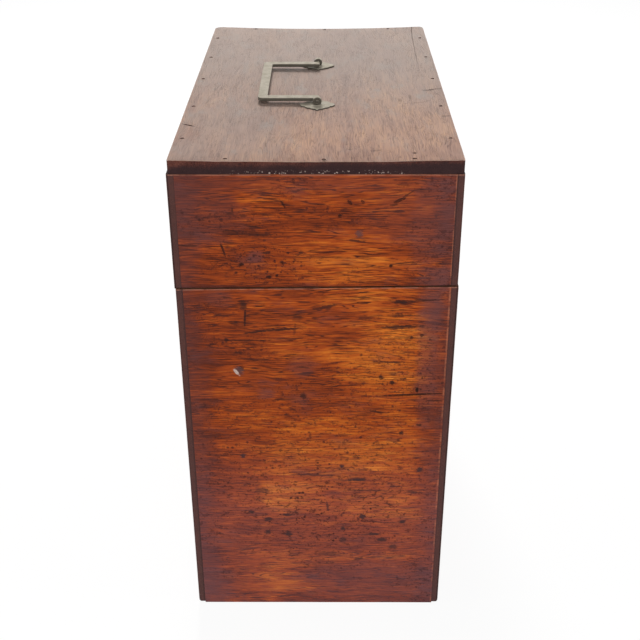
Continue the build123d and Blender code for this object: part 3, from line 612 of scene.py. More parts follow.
class Effects:
    """The surface effects that several finishes share, each built once as a node group."""

    def build(self) -> None:
        """Builds every group."""
        self.figure()
        self.specks()
        self.mark()
        self.box_edges()
        self.patina()
        self.felt()

    @staticmethod
    def figure() -> None:
        """Mahogany's figure on a point in millimetres along, across and through the grain."""
        outputs = ("Tone", "Pores", "Streaks", "Fibre")
        graph, given, taken = new_group("mahogany figure", {"Point": "Vector"}, outputs)
        point = given["Point"]
        sway = graph.noise(point, (60, 34, 34), 2)
        lift = graph.node("ShaderNodeCombineXYZ")
        graph.feed(lift.inputs[1], graph.linear(sway, 8.0, -4.0))
        bent = graph.vector_math("ADD", point, lift.outputs[0]).outputs[0]
        broad = graph.noise(bent, (80, 30, 30), 3, 0.55)
        ribbon = graph.noise(bent, (45, 4.0, 4.0), 3, 0.62)
        fine = graph.noise(bent, (13, 0.75, 0.75), 2, 0.6)
        tone = graph.total(
            graph.linear(broad, 0.6, -0.3),
            graph.linear(ribbon, 0.6, -0.3),
            graph.linear(fine, 0.75, -0.375),
        )
        graph.feed(taken["Tone"], tone)
        cluster = graph.between(graph.noise(bent, (30, 7, 7), 3), 0.38, 0.58)
        short = graph.between(graph.noise(bent, (10, 0.55, 0.55), 2), 0.54, 0.62)
        graph.feed(taken["Pores"], graph.times(short, cluster))
        rings = graph.noise(bent, (75, 6.5, 6.5), 2, 0.5)
        wave = graph.math("PINGPONG", graph.times(rings, 34.0), 1.0)
        line = graph.between(wave, 0.08, 0.42, 1.0, 0.0)
        broken = graph.between(graph.noise(bent, (14, 1.8, 1.8), 3), 0.43, 0.56)
        graph.feed(taken["Streaks"], graph.times(line, broken))
        graph.feed(taken["Fibre"], graph.noise(bent, (9, 0.5, 0.5), 2))

    @staticmethod
    def specks() -> None:
        """Small round holes and stains, some in each cell of a lattice of the given spacing."""
        inputs = {"Point": "Vector", "Spacing": "Float", "Radius": "Float", "Share": "Float"}
        graph, given, taken = new_group("specks", inputs, ("Mask",))
        frayed = graph.node("ShaderNodeTexNoise")
        graph.feed(frayed.inputs["Vector"], given["Point"])
        graph.feed(frayed.inputs["Scale"], 1.1)
        moved = graph.vector_math("MULTIPLY_ADD", frayed.outputs["Color"], (0.9, 0.9, 0.9), given["Point"])
        fineness = graph.math("DIVIDE", 1.0, given["Spacing"])
        cells = graph.vector_math("SCALE", moved.outputs[0], scale=fineness)
        voronoi = graph.node("ShaderNodeTexVoronoi")
        graph.feed(voronoi.inputs["Vector"], cells.outputs[0])
        graph.feed(voronoi.inputs["Scale"], 1.0)
        chance = graph.parts(voronoi.outputs["Color"])
        reach = graph.math("DIVIDE", given["Radius"], given["Spacing"])
        reach = graph.times(reach, graph.linear(chance[1], 1.1, 0.35))
        spot = graph.between(voronoi.outputs["Distance"], graph.times(reach, 0.55), reach, 1.0, 0.0)
        filled = graph.math("LESS_THAN", chance[0], given["Share"])
        graph.feed(taken["Mask"], graph.times(spot, filled))

    @staticmethod
    def mark() -> None:
        """One ragged oval mark, placed, turned and sized in the millimetres of the point."""
        inputs = {
            "Point": "Vector",
            "Centre": "Vector",
            "Turn": "Float",
            "Halves": "Vector",
            "Ragged": "Float",
            "Tatters": "Vector",
        }
        graph, given, taken = new_group("mark", inputs, ("Mask",))
        near = graph.vector_math("SUBTRACT", given["Point"], given["Centre"])
        turned = graph.node("ShaderNodeVectorRotate", rotation_type="Z_AXIS")
        graph.feed(turned.inputs["Vector"], near.outputs[0])
        graph.feed(turned.inputs["Angle"], graph.times(given["Turn"], -1.0))
        sized = graph.vector_math("DIVIDE", turned.outputs[0], given["Halves"])
        reach = graph.vector_math("LENGTH", sized.outputs[0]).outputs[1]
        torn = graph.vector_math("DIVIDE", given["Point"], given["Tatters"]).outputs[0]
        fray = graph.math("SUBTRACT", graph.noise(torn, None, 3, 0.65), 0.5)
        frayed = graph.linear(fray, given["Ragged"], reach)
        graph.feed(taken["Mask"], graph.between(frayed, 0.4, 1.05, 1.0, 0.0))

    @staticmethod
    def box_edges() -> None:
        """How far a point in millimetres is from the box's corners, saw cut, rim and foot."""
        outputs = ("Corner", "Above Seam", "Below Rim", "Foot")
        graph, given, taken = new_group("box edges", {"Point": "Vector"}, outputs)
        x, y, z = graph.parts(given["Point"])
        half_length, half_width = BOX.halves
        from_end = graph.math("SUBTRACT", half_length, graph.math("ABSOLUTE", x))
        from_side = graph.math("SUBTRACT", half_width, graph.math("ABSOLUTE", y))
        graph.feed(taken["Corner"], graph.larger(from_end, from_side))
        seam = graph.linear(y, -BOX.seam_slope, BOX.seam / MM)
        graph.feed(taken["Above Seam"], graph.math("SUBTRACT", z, seam))
        graph.feed(taken["Below Rim"], graph.math("SUBTRACT", BOX.rim / MM, z))
        graph.feed(taken["Foot"], z)

    @staticmethod
    def patina() -> None:
        """Tarnish, pits and the hand-worked unevenness of an old metal fitting."""
        graph, given, taken = new_group("patina", {"Point": "Vector"}, ("Tarnish", "Pits", "Height"))
        point = given["Point"]
        cloud = graph.noise(point, (4.5, 4.5, 4.5), 4, 0.62)
        graph.feed(taken["Tarnish"], graph.between(cloud, 0.38, 0.66))
        pits = graph.group("specks", Point=point, Spacing=1.7, Radius=0.32, Share=0.45).outputs["Mask"]
        graph.feed(taken["Pits"], pits)
        waves = graph.times(graph.noise(point, (2.4, 2.4, 2.4), 3), 0.07)
        graph.feed(taken["Height"], graph.math("SUBTRACT", waves, graph.times(pits, 0.04)))

    @staticmethod
    def felt() -> None:
        """The matted hairs, pile and worn places of baize."""
        graph, given, taken = new_group("felt", {"Point": "Vector"}, ("Hairs", "Wear", "Height"))
        point = given["Point"]
        hairs = graph.noise(point, (0.5, 0.5, 0.5), 3, 0.7, 1.6)
        graph.feed(taken["Hairs"], hairs)
        worn = graph.noise(point, (26, 26, 26), 4, 0.6)
        graph.feed(taken["Wear"], graph.between(worn, 0.42, 0.70))
        mats = graph.times(graph.noise(point, (1.7, 1.7, 1.7), 2), 0.5)
        graph.feed(taken["Height"], graph.times(graph.total(hairs, mats), 0.22))


@dataclass(frozen=True)
class Box:
    """The carcase's leading sizes, read from the frame, in metres."""

    length: float
    width: float
    rim: float
    seam: float = 226.2 * MM
    seam_slope: float = 1.6 / 152

    @property
    def halves(self) -> tuple[float, float]:
        """Half its length and half its width, in millimetres."""
        return self.length / 2 / MM, self.width / 2 / MM

    @classmethod
    def from_frame(cls) -> "Box":
        """Reads the length, width and rim height off the CAD boards."""
        low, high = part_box("base_front_board")[0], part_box("base_back_board")[1]
        return cls(length=high.x - low.x, width=high.y - low.y, rim=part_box("lid_left_end")[1].z)


BOX = Box.from_frame()


def cleared(owner: Material | bpy.types.World) -> Graph:
    """An empty graph of a material's or a world's nodes."""
    owner.use_nodes = True
    owner.node_tree.nodes.clear()
    return Graph(owner.node_tree)


def material_graph(name: str) -> tuple[Material, Graph, Node]:
    """A new material, its graph and its Principled shader."""
    material = bpy.data.materials.new(name)
    graph = cleared(material)
    shader = graph.node("ShaderNodeBsdfPrincipled")
    output = graph.node("ShaderNodeOutputMaterial")
    graph.feed(output.inputs["Surface"], shader.outputs[0])
    return material, graph, shader


def bump(graph: Graph, shader: Node, height: Socket) -> None:
    """Feeds a height in millimetres to a shader's normal."""
    made = graph.node("ShaderNodeBump")
    graph.feed(made.inputs["Strength"], 1.0)
    graph.feed(made.inputs["Distance"], MM)
    graph.feed(made.inputs["Height"], height)
    graph.feed(shader.inputs["Normal"], made.outputs[0])


# Linear colours of dirt, wear and wax, and of painted reflection, highlight, shadow and shade
# Painted reflection of the pale floor in the walls' lower part
PAINTED_FLOOR_REFLECTION = (0.25, 0.125, 0.165)
SPECK_DIRT = (0.024, 0.008, 0.008)
GRAIN_LINE = (0.052, 0.013, 0.008)
OPEN_PORE = (0.030, 0.008, 0.006)
# Rubbed wear and a painted highlight on the walls' upper arrises
RIM_WEAR_AND_HIGHLIGHT = (0.34, 0.150, 0.100)
JOINT_LINE = (0.36, 0.130, 0.070)
RUBBED_ARRIS = (0.30, 0.13, 0.08)
LAP_LINE = (0.018, 0.010, 0.010)
# Painted shadow on faces that look up
PAINTED_LEDGE_SHADOW = (0.022, 0.010, 0.008)
# Painted shade in the saw cut
PAINTED_SAW_CUT_SHADE = (0.010, 0.002, 0.001)
# Rubbed wear and a painted highlight on the top board's arris
TOP_ARRIS_WEAR_AND_HIGHLIGHT = (0.46, 0.32, 0.26)
EDGE_DARK_BAND = (0.022, 0.012, 0.013)
BRUISE = (0.40, 0.31, 0.27)
# Wax over the pin heads; the pale one matches the top's painted sheen
DARK_WAX = (0.13, 0.045, 0.025)
PALE_WAX = (0.37, 0.265, 0.215)
BLEMISHES = {
    Kind.DARK: (0.026, 0.010, 0.008),
    Kind.BLOT: (0.050, 0.020, 0.019),
    Kind.KNOT: (0.075, 0.036, 0.036),
    Kind.LIGHT: (0.42, 0.32, 0.28),
}

# How much a placed mark lightens or darkens the tone, dulls the polish (which on the top board adds
# painted sheen) and thins the grain's lines
TONE_CHANGES = {Kind.GLOW: 0.15, Kind.SHADE: -0.17}
HAZE_DULLING = 0.62
SPECKED_THINNING = -0.4

# The relief of dots and cut-in marks, and how deep the wax over the pins goes, in millimetres
RELIEF = -0.12
WAX_DEPTH = 1.2


@dataclass(frozen=True)
class MarkStyle:
    """How the marks of one sort are drawn.

    Args:
        spread: How far a mark's faint edge goes past its own size, as a factor.
        ragged: How uneven its edge is.
        tatters: The sizes of the unevenness, in millimetres.
    """

    spread: float
    ragged: float
    tatters: Triple


SOFT_STYLE = MarkStyle(1.8, 1.5, (18.0, 5.0, 18.0))
SHARP_STYLE = MarkStyle(1.25, 1.7, (2.2, 0.9, 0.9))

# Half of how far a mark reaches through the board, in millimetres
MARK_THICKNESS = 4.0


@dataclass
class Layers:
    """What the steps of a wood finish share.

    Args:
        graph: The material's graph.
        point: Millimetres along the box's own axes.
        laid: The same along, across and through the grain.
        wood: The place in the log that the board was cut from.
        figure: The figure's node.
        edges: The node of distances from the box's edges.
        ragged: Uneven noise around a half.
        sway: The same noise as millimetres to and fro.
        upward: How far the surface looks up, from -1 to 1.
        end_grain: A mask of the faces that look along the grain.
        masks: A mask for each kind of placed mark.
        hollows: A mask of the placed marks that are cut in, or None where there are none.
    """

    graph: Graph
    point: Socket
    laid: Socket
    wood: Socket
    figure: Node
    edges: Node
    ragged: Socket
    sway: Socket
    upward: Socket
    end_grain: Socket
    masks: dict[Kind, Socket]
    hollows: Socket | None


@dataclass(frozen=True)
class Mahogany:
    """A finish of old mahogany.

    Args:
        name: The material's name.
        grain: How the boards with this finish were laid.
        place: Where its surfaces are in the box.
        tones: Linear colours from the darkest wood to the lightest.
        end_colour: The linear colour of its end grain.
        grime_and_painted_light: The linear colour of dirt on the polish, and on the top board the colour
            of its painted sheen.
        middle: Where plain wood lies among the tones.
        roughness: The polish's roughness.
        specular: How strongly the polish reflects.
        offset: Where in the log the boards were cut, in millimetres.
        marks: The placed marks.
        face: Where the marked face lies through the grain, in millimetres.
        specks: The share of the places for a speck that hold one.
        lines: How strongly the pores, lines and specks show.
        painted_far_sheen: How much painted sheen the top board shows, more towards its far end.
        floor_reflection: How much painted reflection of the pale floor the wall shows in its lower part.
    """

    name: str
    grain: Grain
    place: Place
    tones: tuple[tuple[float, Colour], ...]
    end_colour: Colour = (0.060, 0.028, 0.025)
    grime_and_painted_light: Colour = (0.100, 0.036, 0.034)
    middle: float = 0.54
    roughness: float = 0.42
    specular: float = 0.07
    offset: Triple = (0.0, 0.0, 0.0)
    marks: tuple[Mark, ...] = ()
    face: float = 0.0
    specks: float = 0.55
    lines: float = 0.9
    painted_far_sheen: float = 0.0
    floor_reflection: float = 0.0

    def build(self) -> Material:
        """Makes the material."""
        material, graph, shader = material_graph(self.name)
        layers = self._layers(graph)
        dots = self._dots(layers)
        colour = graph.ramp(self._tone(layers), self.tones)
        colour = self._grain_lines(layers, colour)
        # Dirt on the polish; on the top board this mixes in its painted sheen.
        colour = graph.mixed(self._grime_and_painted_sheen(layers), colour, self.grime_and_painted_light)
        # Painted reflection of the pale floor, greyed into the lower part of the walls.
        if self.floor_reflection:
            rise = graph.total(layers.edges.outputs["Foot"], layers.sway)
            low = graph.between(rise, 140.0, 70.0, 0.0, self.floor_reflection)
            colour = graph.mixed(low, colour, PAINTED_FLOOR_REFLECTION)
        colour = graph.mixed(graph.times(dots, self.lines), colour, SPECK_DIRT)
        if self.place is not Place.RIM:
            colour = graph.mixed(graph.times(layers.end_grain, 0.9), colour, self.end_colour)
        colour = self._blemishes(layers, colour)
        if self.place is Place.WALL:
            colour = self._wall_wear_and_painted_light(layers, colour)
        if self.place is Place.TOP:
            colour = self._worn_and_lit_arris(layers, colour)
        if self.place is Place.RIM:
            colour = self._bruised_rim(layers, colour)
        graph.feed(shader.inputs["Base Color"], colour)
        dull = graph.noise(layers.point, (18, 18, 18), 3, 0.6)
        graph.feed(shader.inputs["Roughness"], graph.linear(dull, 0.24, self.roughness - 0.12))
        shader.inputs["Specular IOR Level"].default_value = self.specular
        bump(graph, shader, self._height(layers, dots))
        return material

    def _layers(self, graph: Graph) -> Layers:
        """Builds what the other steps start from."""
        coordinates = graph.node("ShaderNodeTexCoord")
        point = graph.millimetres(coordinates.outputs["Object"])
        parts = graph.parts(point)
        laid = graph.node("ShaderNodeCombineXYZ")
        for index, axis in enumerate(self.grain.value):
            graph.feed(laid.inputs[index], parts["XYZ".index(axis)])
        laid = laid.outputs[0]
        wood = graph.vector_math("ADD", laid, self.offset).outputs[0]
        facing = graph.parts(coordinates.outputs["Normal"])
        along = graph.math("ABSOLUTE", facing["XYZ".index(self.grain.value[0])])
        ragged = graph.noise(point, (7, 7, 7), 3, 0.6)
        masks, hollows = self._masks(graph, laid)
        return Layers(
            graph=graph,
            point=point,
            laid=laid,
            wood=wood,
            figure=graph.group("mahogany figure", Point=wood),
            edges=graph.group("box edges", Point=point),
            ragged=ragged,
            sway=graph.linear(ragged, 16.0, -8.0),
            upward=facing[2],
            end_grain=graph.between(along, 0.6, 0.85),
            masks=masks,
            hollows=hollows,
        )

    def _masks(self, graph: Graph, laid: Socket) -> tuple[dict[Kind, Socket], Socket | None]:
        """One mask for each kind of placed mark, and one of all the marks that are cut in."""
        masks: dict[Kind, Socket] = {}
        hollows: Socket | None = None
        for mark in self.marks:
            style = SOFT_STYLE if mark.kind.soft else SHARP_STYLE
            placed = graph.group(
                "mark",
                Point=laid,
                Centre=(mark.along, mark.across, self.face),
                Turn=math.radians(mark.turn),
                Halves=(mark.length * style.spread, mark.width * style.spread, MARK_THICKNESS),
                Ragged=style.ragged,
                Tatters=style.tatters,
            ).outputs[0]
            placed = graph.times(placed, mark.weight)
            masks[mark.kind] = graph.larger(masks[mark.kind], placed) if mark.kind in masks else placed
            if mark.depth:
                hollows = placed if hollows is None else graph.larger(hollows, placed)
        return masks, hollows

    def _tone(self, layers: Layers) -> Socket:
        """How light the wood is, from the figure and the placed marks, with painted shade on the walls
        towards the corners, above the saw cut, below the rim and at the foot.
        """
        graph, edges = layers.graph, layers.edges
        tone = graph.total(self.middle, layers.figure.outputs["Tone"])
        for kind, change in TONE_CHANGES.items():
            if kind in layers.masks:
                tone = graph.linear(layers.masks[kind], change, tone)
        if self.place is not Place.WALL:
            return tone
        # Painted shade: darker towards the box's corners, in a band above the saw cut, just below the rim
        # and at the foot.
        spread = layers.sway
        corner = graph.between(graph.total(edges.outputs["Corner"], spread), 3.0, 24.0, 1.0, 0.0)
        tone = graph.linear(corner, -0.15, tone)
        above = edges.outputs["Above Seam"]
        band = graph.times(graph.between(above, 4.0, 0.5), graph.math("GREATER_THAN", above, 0.3))
        tone = graph.linear(band, -0.24, tone)
        rim = graph.between(graph.total(edges.outputs["Below Rim"], graph.times(spread, 0.25)), 8.0, 1.0)
        tone = graph.linear(rim, -0.06, tone)
        foot = graph.between(graph.total(edges.outputs["Foot"], graph.times(spread, 0.5)), 6.0, 0.5)
        return graph.linear(foot, -0.12, tone)

    def _grime_and_painted_sheen(self, layers: Layers) -> Socket:
        """Where dirt dulls the polish, and on the top board where its painted sheen shows, more towards
        the far end.
        """
        graph = layers.graph
        clouds = graph.noise(layers.wood, (24, 9, 24), 4, 0.65)
        amount = graph.between(clouds, 0.52, 0.76, 0.0, 0.4)
        if Kind.HAZE in layers.masks:
            amount = graph.total(amount, graph.times(layers.masks[Kind.HAZE], HAZE_DULLING))
        if self.place is Place.WALL:
            corner = graph.total(layers.edges.outputs["Corner"], layers.sway)
            near = graph.between(corner, 4.0, 20.0, 0.34, 0.0)
            amount = graph.total(amount, near)
        # Painted sheen on the top board, stronger towards the far end.
        if self.painted_far_sheen:
            half, _ = BOX.halves
            drift = graph.linear(layers.ragged, 30.0, graph.parts(layers.laid)[0])
            amount = graph.total(amount, graph.between(drift, -half, 0.55 * half, 0.12, self.painted_far_sheen))
        return graph.math("MINIMUM", amount, 0.85)

    def _grain_lines(self, layers: Layers, colour: Socket) -> Socket:
        """The dark open pores and lines of the grain."""
        graph = layers.graph
        amount: Value = self.lines
        if Kind.SPECKED in layers.masks:
            amount = graph.linear(layers.masks[Kind.SPECKED], SPECKED_THINNING, self.lines)
        colour = graph.mixed(graph.times(layers.figure.outputs["Streaks"], amount), colour, GRAIN_LINE)
        return graph.mixed(graph.times(layers.figure.outputs["Pores"], amount), colour, OPEN_PORE)

    def _dots(self, layers: Layers) -> Socket:
        """Small round holes, and the dirt round them, crowded in places."""
        graph = layers.graph
        holes = graph.group("specks", Point=layers.wood, Spacing=3.7, Radius=0.78, Share=self.specks)
        dots = holes.outputs["Mask"]
        crumbs = graph.noise(layers.wood, (2.6, 1.5, 1.5), 3, 0.7)
        dots = graph.larger(dots, graph.between(crumbs, 0.56, 0.64, 0.0, 0.8))
        crowd = graph.between(graph.noise(layers.wood, (44, 26, 44), 2), 0.50, 0.60, 0.05, 0.7)
        if Kind.SPECKED in layers.masks:
            crowd = graph.larger(crowd, layers.masks[Kind.SPECKED])
            blots = graph.noise(layers.wood, (3.4, 2.4, 3.4), 3, 0.65)
            dots = graph.larger(dots, graph.between(blots, 0.57, 0.64, 0.0, 0.75))
        return graph.times(dots, crowd)

    @staticmethod
    def _blemishes(layers: Layers, colour: Socket) -> Socket:
        """The small placed marks."""
        graph = layers.graph
        for kind, mark_colour in BLEMISHES.items():
            if kind in layers.masks:
                colour = graph.mixed(layers.masks[kind], colour, mark_colour)
        return colour

    def _wall_wear_and_painted_light(self, layers: Layers, colour: Socket) -> Socket:
        """Rubbed arrises with a painted highlight on the upper ones, the lines of the joints, painted
        shadow on faces that look up, and painted shade in the saw cut.
        """
        graph, edges = layers.graph, layers.edges
        above, corner = edges.outputs["Above Seam"], edges.outputs["Corner"]
        across = graph.math("SUBTRACT", 1.0, layers.end_grain)
        # The upper arrises below the saw cut and the rim are lightened: rubbed wear and a painted
        # highlight.
        below_cut = graph.times(graph.between(above, -1.1, -0.6), graph.math("LESS_THAN", above, 0.0))
        rim = graph.between(edges.outputs["Below Rim"], 0.9, 0.4)
        rub = graph.between(layers.ragged, 0.34, 0.54, 0.25, 1.0)
        worn = graph.times(graph.larger(below_cut, rim), rub)
        colour = graph.mixed(graph.times(worn, 0.55), colour, RIM_WEAR_AND_HIGHLIGHT)
        if self.grain is Grain.CROSSWISE_UPRIGHT:
            joint = graph.times(graph.between(corner, 3.7, 4.1), graph.between(corner, 5.0, 4.5), across)
            front = graph.math("LESS_THAN", graph.parts(layers.point)[1], 0.0)
            patchy = graph.between(layers.ragged, 0.38, 0.60)
            colour = graph.mixed(graph.times(joint, patchy, front, 0.45), colour, JOINT_LINE)
        edge = graph.between(corner, 1.3, 0.3)
        rubbed = graph.times(edge, graph.between(layers.ragged, 0.46, 0.60), across)
        colour = graph.mixed(graph.times(rubbed, 0.4), colour, RUBBED_ARRIS)
        line = graph.times(graph.between(corner, 3.1, 3.8), graph.between(corner, 4.3, 4.1), 0.6)
        outer = graph.between(corner, 1.3, 0.4)
        lines = graph.times(graph.larger(line, outer), layers.end_grain)
        colour = graph.mixed(graph.times(lines, 0.75), colour, LAP_LINE)
        # Painted shadow on faces that look up, such as the ledge under the top board.
        ledge = graph.between(layers.upward, 0.6, 0.9)
        colour = graph.mixed(graph.times(ledge, 0.9), colour, PAINTED_LEDGE_SHADOW)
        # Painted shade in the saw cut between the lid and the base.
        gap = graph.times(graph.between(above, -0.35, -0.05), graph.between(above, 0.95, 0.65))
        return graph.mixed(gap, colour, PAINTED_SAW_CUT_SHADE)

    @staticmethod
    def _worn_and_lit_arris(layers: Layers, colour: Socket) -> Socket:
        """The pale line round the top board's upper arris: rubbed wear and a painted highlight."""
        graph = layers.graph
        upward = layers.upward
        # Rubbed wear and a painted highlight on the rounded arris faces, picked by how far they look up.
        arris = graph.times(graph.between(upward, 0.2, 0.5), graph.between(upward, 0.98, 0.85))
        worn = graph.times(arris, graph.between(layers.ragged, 0.36, 0.56, 0.35, 0.9))
        return graph.mixed(worn, colour, TOP_ARRIS_WEAR_AND_HIGHLIGHT)

    def _bruised_rim(self, layers: Layers, colour: Socket) -> Socket:
        """The top board's edge: red wood above, a dark band below, and pale bruises at its foot."""
        graph = layers.graph
        _, across, high = graph.parts(layers.point)
        rise = graph.math("SUBTRACT", high, BOX.rim / MM)
        sway = graph.linear(layers.ragged, 4.4, -2.2)
        fibre = graph.linear(layers.figure.outputs["Fibre"], 3.0, -1.5)
        slope = graph.times(across, 0.018)
        dark_band = graph.between(graph.total(rise, sway, fibre, slope), 7.4, 3.6)
        colour = graph.mixed(graph.times(dark_band, 0.9), colour, EDGE_DARK_BAND)
        flecks = graph.group("specks", Point=layers.point, Spacing=1.0, Radius=0.42, Share=0.7)
        low = graph.between(graph.total(rise, graph.times(sway, 0.4)), 2.6, 1.0)
        ragged = graph.linear(layers.ragged, 50.0, -25.0)
        middle = graph.between(graph.math("ABSOLUTE", graph.total(across, ragged)), 48.0, 28.0)
        bruises = graph.times(flecks.outputs["Mask"], low, middle)
        colour = graph.mixed(graph.times(bruises, 0.8), colour, BRUISE)
        return self._worn_and_lit_arris(layers, colour)

    def _height(self, layers: Layers, dots: Socket) -> Socket:
        """The surface's height in millimetres."""
        graph = layers.graph
        hollows = graph.noise(layers.wood, (40, 14, 14), 2)
        height = graph.total(
            graph.times(hollows, 0.5),
            graph.times(layers.figure.outputs["Fibre"], 0.05),
            graph.times(layers.figure.outputs["Pores"], -0.10),
            graph.times(layers.figure.outputs["Streaks"], -0.06),
            graph.times(dots, RELIEF),
        )
        if layers.hollows is not None:
            height = graph.linear(layers.hollows, RELIEF, height)
        return height


@dataclass(frozen=True)
class Metal:
    """A finish of old brass or iron.

    Args:
        name: The material's name.
        bright: The linear colour of rubbed metal.
        tarnish: The colour of its tarnish.
        dark: The colour in its pits, and of the painted shade on its sides.
        metallic: How metallic the rubbed places are.
        roughness: The roughness of rubbed metal.
        dulling: How much of the surface has tarnished.
        grime_and_painted_light: How strongly the sides that don't look up are darkened, as painted shade.
        stopped: Whether its heads are sunk and stopped with brown wax.
    """

    name: str
    bright: Colour
    tarnish: Colour
    dark: Colour
    metallic: float = 0.9
    roughness: float = 0.38
    dulling: float = 0.7
    grime_and_painted_light: float = 0.0
    stopped: bool = False

    def build(self) -> Material:
        """Makes the material."""
        material, graph, shader = material_graph(self.name)
        coordinates = graph.node("ShaderNodeTexCoord")
        point = graph.millimetres(coordinates.outputs["Object"])
        patina = graph.group("patina", Point=point)
        dulled = graph.times(patina.outputs["Tarnish"], self.dulling)
        colour = graph.mixed(dulled, self.bright, self.tarnish)
        colour = graph.mixed(graph.times(patina.outputs["Pits"], 0.6), colour, self.dark)
        metallic = graph.linear(dulled, -0.35, self.metallic)
        # Painted shade: faces that don't look up are darkened and made less metallic.
        if self.grime_and_painted_light:
            upward = graph.parts(coordinates.outputs["Normal"])[2]
            side = graph.between(upward, 0.75, 0.35, 0.0, self.grime_and_painted_light)
            colour = graph.mixed(side, colour, self.dark)
            metallic = graph.times(metallic, graph.math("SUBTRACT", 1.0, graph.times(side, 0.8)))
        if self.stopped:
            wax, high = self._wax(graph, point)
            # The pale wax in the top board matches the top's painted sheen.
            stopping = graph.mixed(high, DARK_WAX, PALE_WAX)
            colour = graph.mixed(wax, colour, stopping)
            metallic = graph.times(metallic, graph.math("SUBTRACT", 1.0, wax))
        graph.feed(shader.inputs["Base Color"], colour)
        graph.feed(shader.inputs["Roughness"], graph.linear(dulled, 0.25, self.roughness))
        graph.feed(shader.inputs["Metallic"], metallic)
        bump(graph, shader, patina.outputs["Height"])
        return material

    @staticmethod
    def _wax(graph: Graph, point: Socket) -> tuple[Socket, Socket]:
        """Masks of the places just inside the box's outside, and of those in the top board."""
        x, y, z = graph.parts(point)
        half_length, half_width = BOX.halves
        beside = graph.math("GREATER_THAN", graph.math("ABSOLUTE", x), half_length - WAX_DEPTH)
        fore = graph.math("GREATER_THAN", graph.math("ABSOLUTE", y), half_width - WAX_DEPTH)
        high = graph.math("GREATER_THAN", z, BOX.rim / MM + 4.0)
        return graph.larger(graph.larger(beside, fore), high), high


@dataclass(frozen=True)
class Baize:
    """A finish of felted wool.

    Args:
        name: The material's name.
        fresh: The linear colour of clean baize.
        worn: Its colour where it has faded and rubbed thin.
    """

    name: str
    fresh: Colour
    worn: Colour

    def build(self) -> Material:
        """Makes the material."""
        material, graph, shader = material_graph(self.name)
        point = graph.millimetres(graph.node("ShaderNodeTexCoord").outputs["Object"])
        felt = graph.group("felt", Point=point)
        colour = graph.mixed(graph.times(felt.outputs["Wear"], 0.7), self.fresh, self.worn)
        lint = graph.between(felt.outputs["Hairs"], 0.55, 0.78)
        colour = graph.mixed(graph.times(lint, 0.35), colour, tuple(1.9 * part for part in self.worn))
        graph.feed(shader.inputs["Base Color"], colour)
        shader.inputs["Roughness"].default_value = 0.95
        shader.inputs["Specular IOR Level"].default_value = 0.15
        shader.inputs["Sheen Weight"].default_value = 0.35
        shader.inputs["Sheen Roughness"].default_value = 0.6
        bump(graph, shader, felt.outputs["Height"])
        return material


WALL_TONES = (
    (0.0, (0.030, 0.008, 0.006)),
    (0.20, (0.075, 0.015, 0.007)),
    (0.34, (0.130, 0.022, 0.006)),
    (0.55, (0.262, 0.045, 0.007)),
    (0.76, (0.420, 0.102, 0.012)),
    (1.0, (0.620, 0.210, 0.030)),
)
# The top's tones are pale and grey to carry its painted sheen.
TOP_TONES = (
    (0.0, (0.110, 0.045, 0.032)),
    (0.25, (0.260, 0.135, 0.100)),
    (0.50, (0.385, 0.222, 0.165)),
    (0.72, (0.500, 0.290, 0.195)),
    (1.0, (0.680, 0.390, 0.210)),
)
RIM_TONES = (
    (0.0, (0.024, 0.010, 0.009)),
    (0.40, (0.065, 0.023, 0.018)),
    (0.65, (0.105, 0.036, 0.026)),
    (1.0, (0.220, 0.090, 0.060)),
)
BARE_TONES = (
    (0.0, (0.090, 0.045, 0.032)),
    (0.40, (0.230, 0.110, 0.068)),
    (0.60, (0.300, 0.150, 0.090)),
    (1.0, (0.440, 0.250, 0.160)),
)
END_WOOD = Mahogany(
    "polished_end_mahogany",
    Grain.CROSSWISE_UPRIGHT,
    Place.WALL,
    WALL_TONES,
    marks=END_MARKS,
    face=-138.0,
    floor_reflection=0.12,
)
LONG_WOOD = Mahogany(
    "polished_long_mahogany",
    Grain.LENGTHWISE_UPRIGHT,
    Place.WALL,
    WALL_TONES,
    offset=(310.0, 95.0, 40.0),
    specks=0.35,
    lines=0.8,
    floor_reflection=0.12,
)
# The top's pale grey colour and its far sheen are painted reflection of the light around it.
TOP_WOOD = Mahogany(
    "sheen_painted_top_mahogany",
    Grain.LENGTHWISE_FLAT,
    Place.TOP,
    TOP_TONES,
    end_colour=(0.060, 0.022, 0.017),
    grime_and_painted_light=(0.340, 0.290, 0.260),
    roughness=0.5,
    specular=0.15,
    offset=(70.0, 400.0, 60.0),
    marks=TOP_MARKS,
    face=298.0,
    specks=0.12,
    lines=0.34,
    painted_far_sheen=0.75,
)
TOP_EDGE_WOOD = Mahogany(
    "banded_edge_mahogany",
    Grain.LENGTHWISE_FLAT,
    Place.RIM,
    RIM_TONES,
    grime_and_painted_light=(0.050, 0.026, 0.022),
    roughness=0.5,
    offset=(150.0, 20.0, 900.0),
    specks=0.1,
)
BARE_WOOD = Mahogany(
    "bare_mahogany",
    Grain.LENGTHWISE_UPRIGHT,
    Place.INSIDE,
    BARE_TONES,
    end_colour=(0.16, 0.075, 0.050),
    grime_and_painted_light=(0.20, 0.11, 0.08),
    roughness=0.72,
    specular=0.2,
    offset=(20.0, 33.0, 700.0),
    specks=0.1,
    lines=0.4,
)
BARE_END_WOOD = replace(
    BARE_WOOD,
    name="bare_end_mahogany",
    grain=Grain.CROSSWISE_UPRIGHT,
    offset=(520.0, 12.0, 90.0),
)
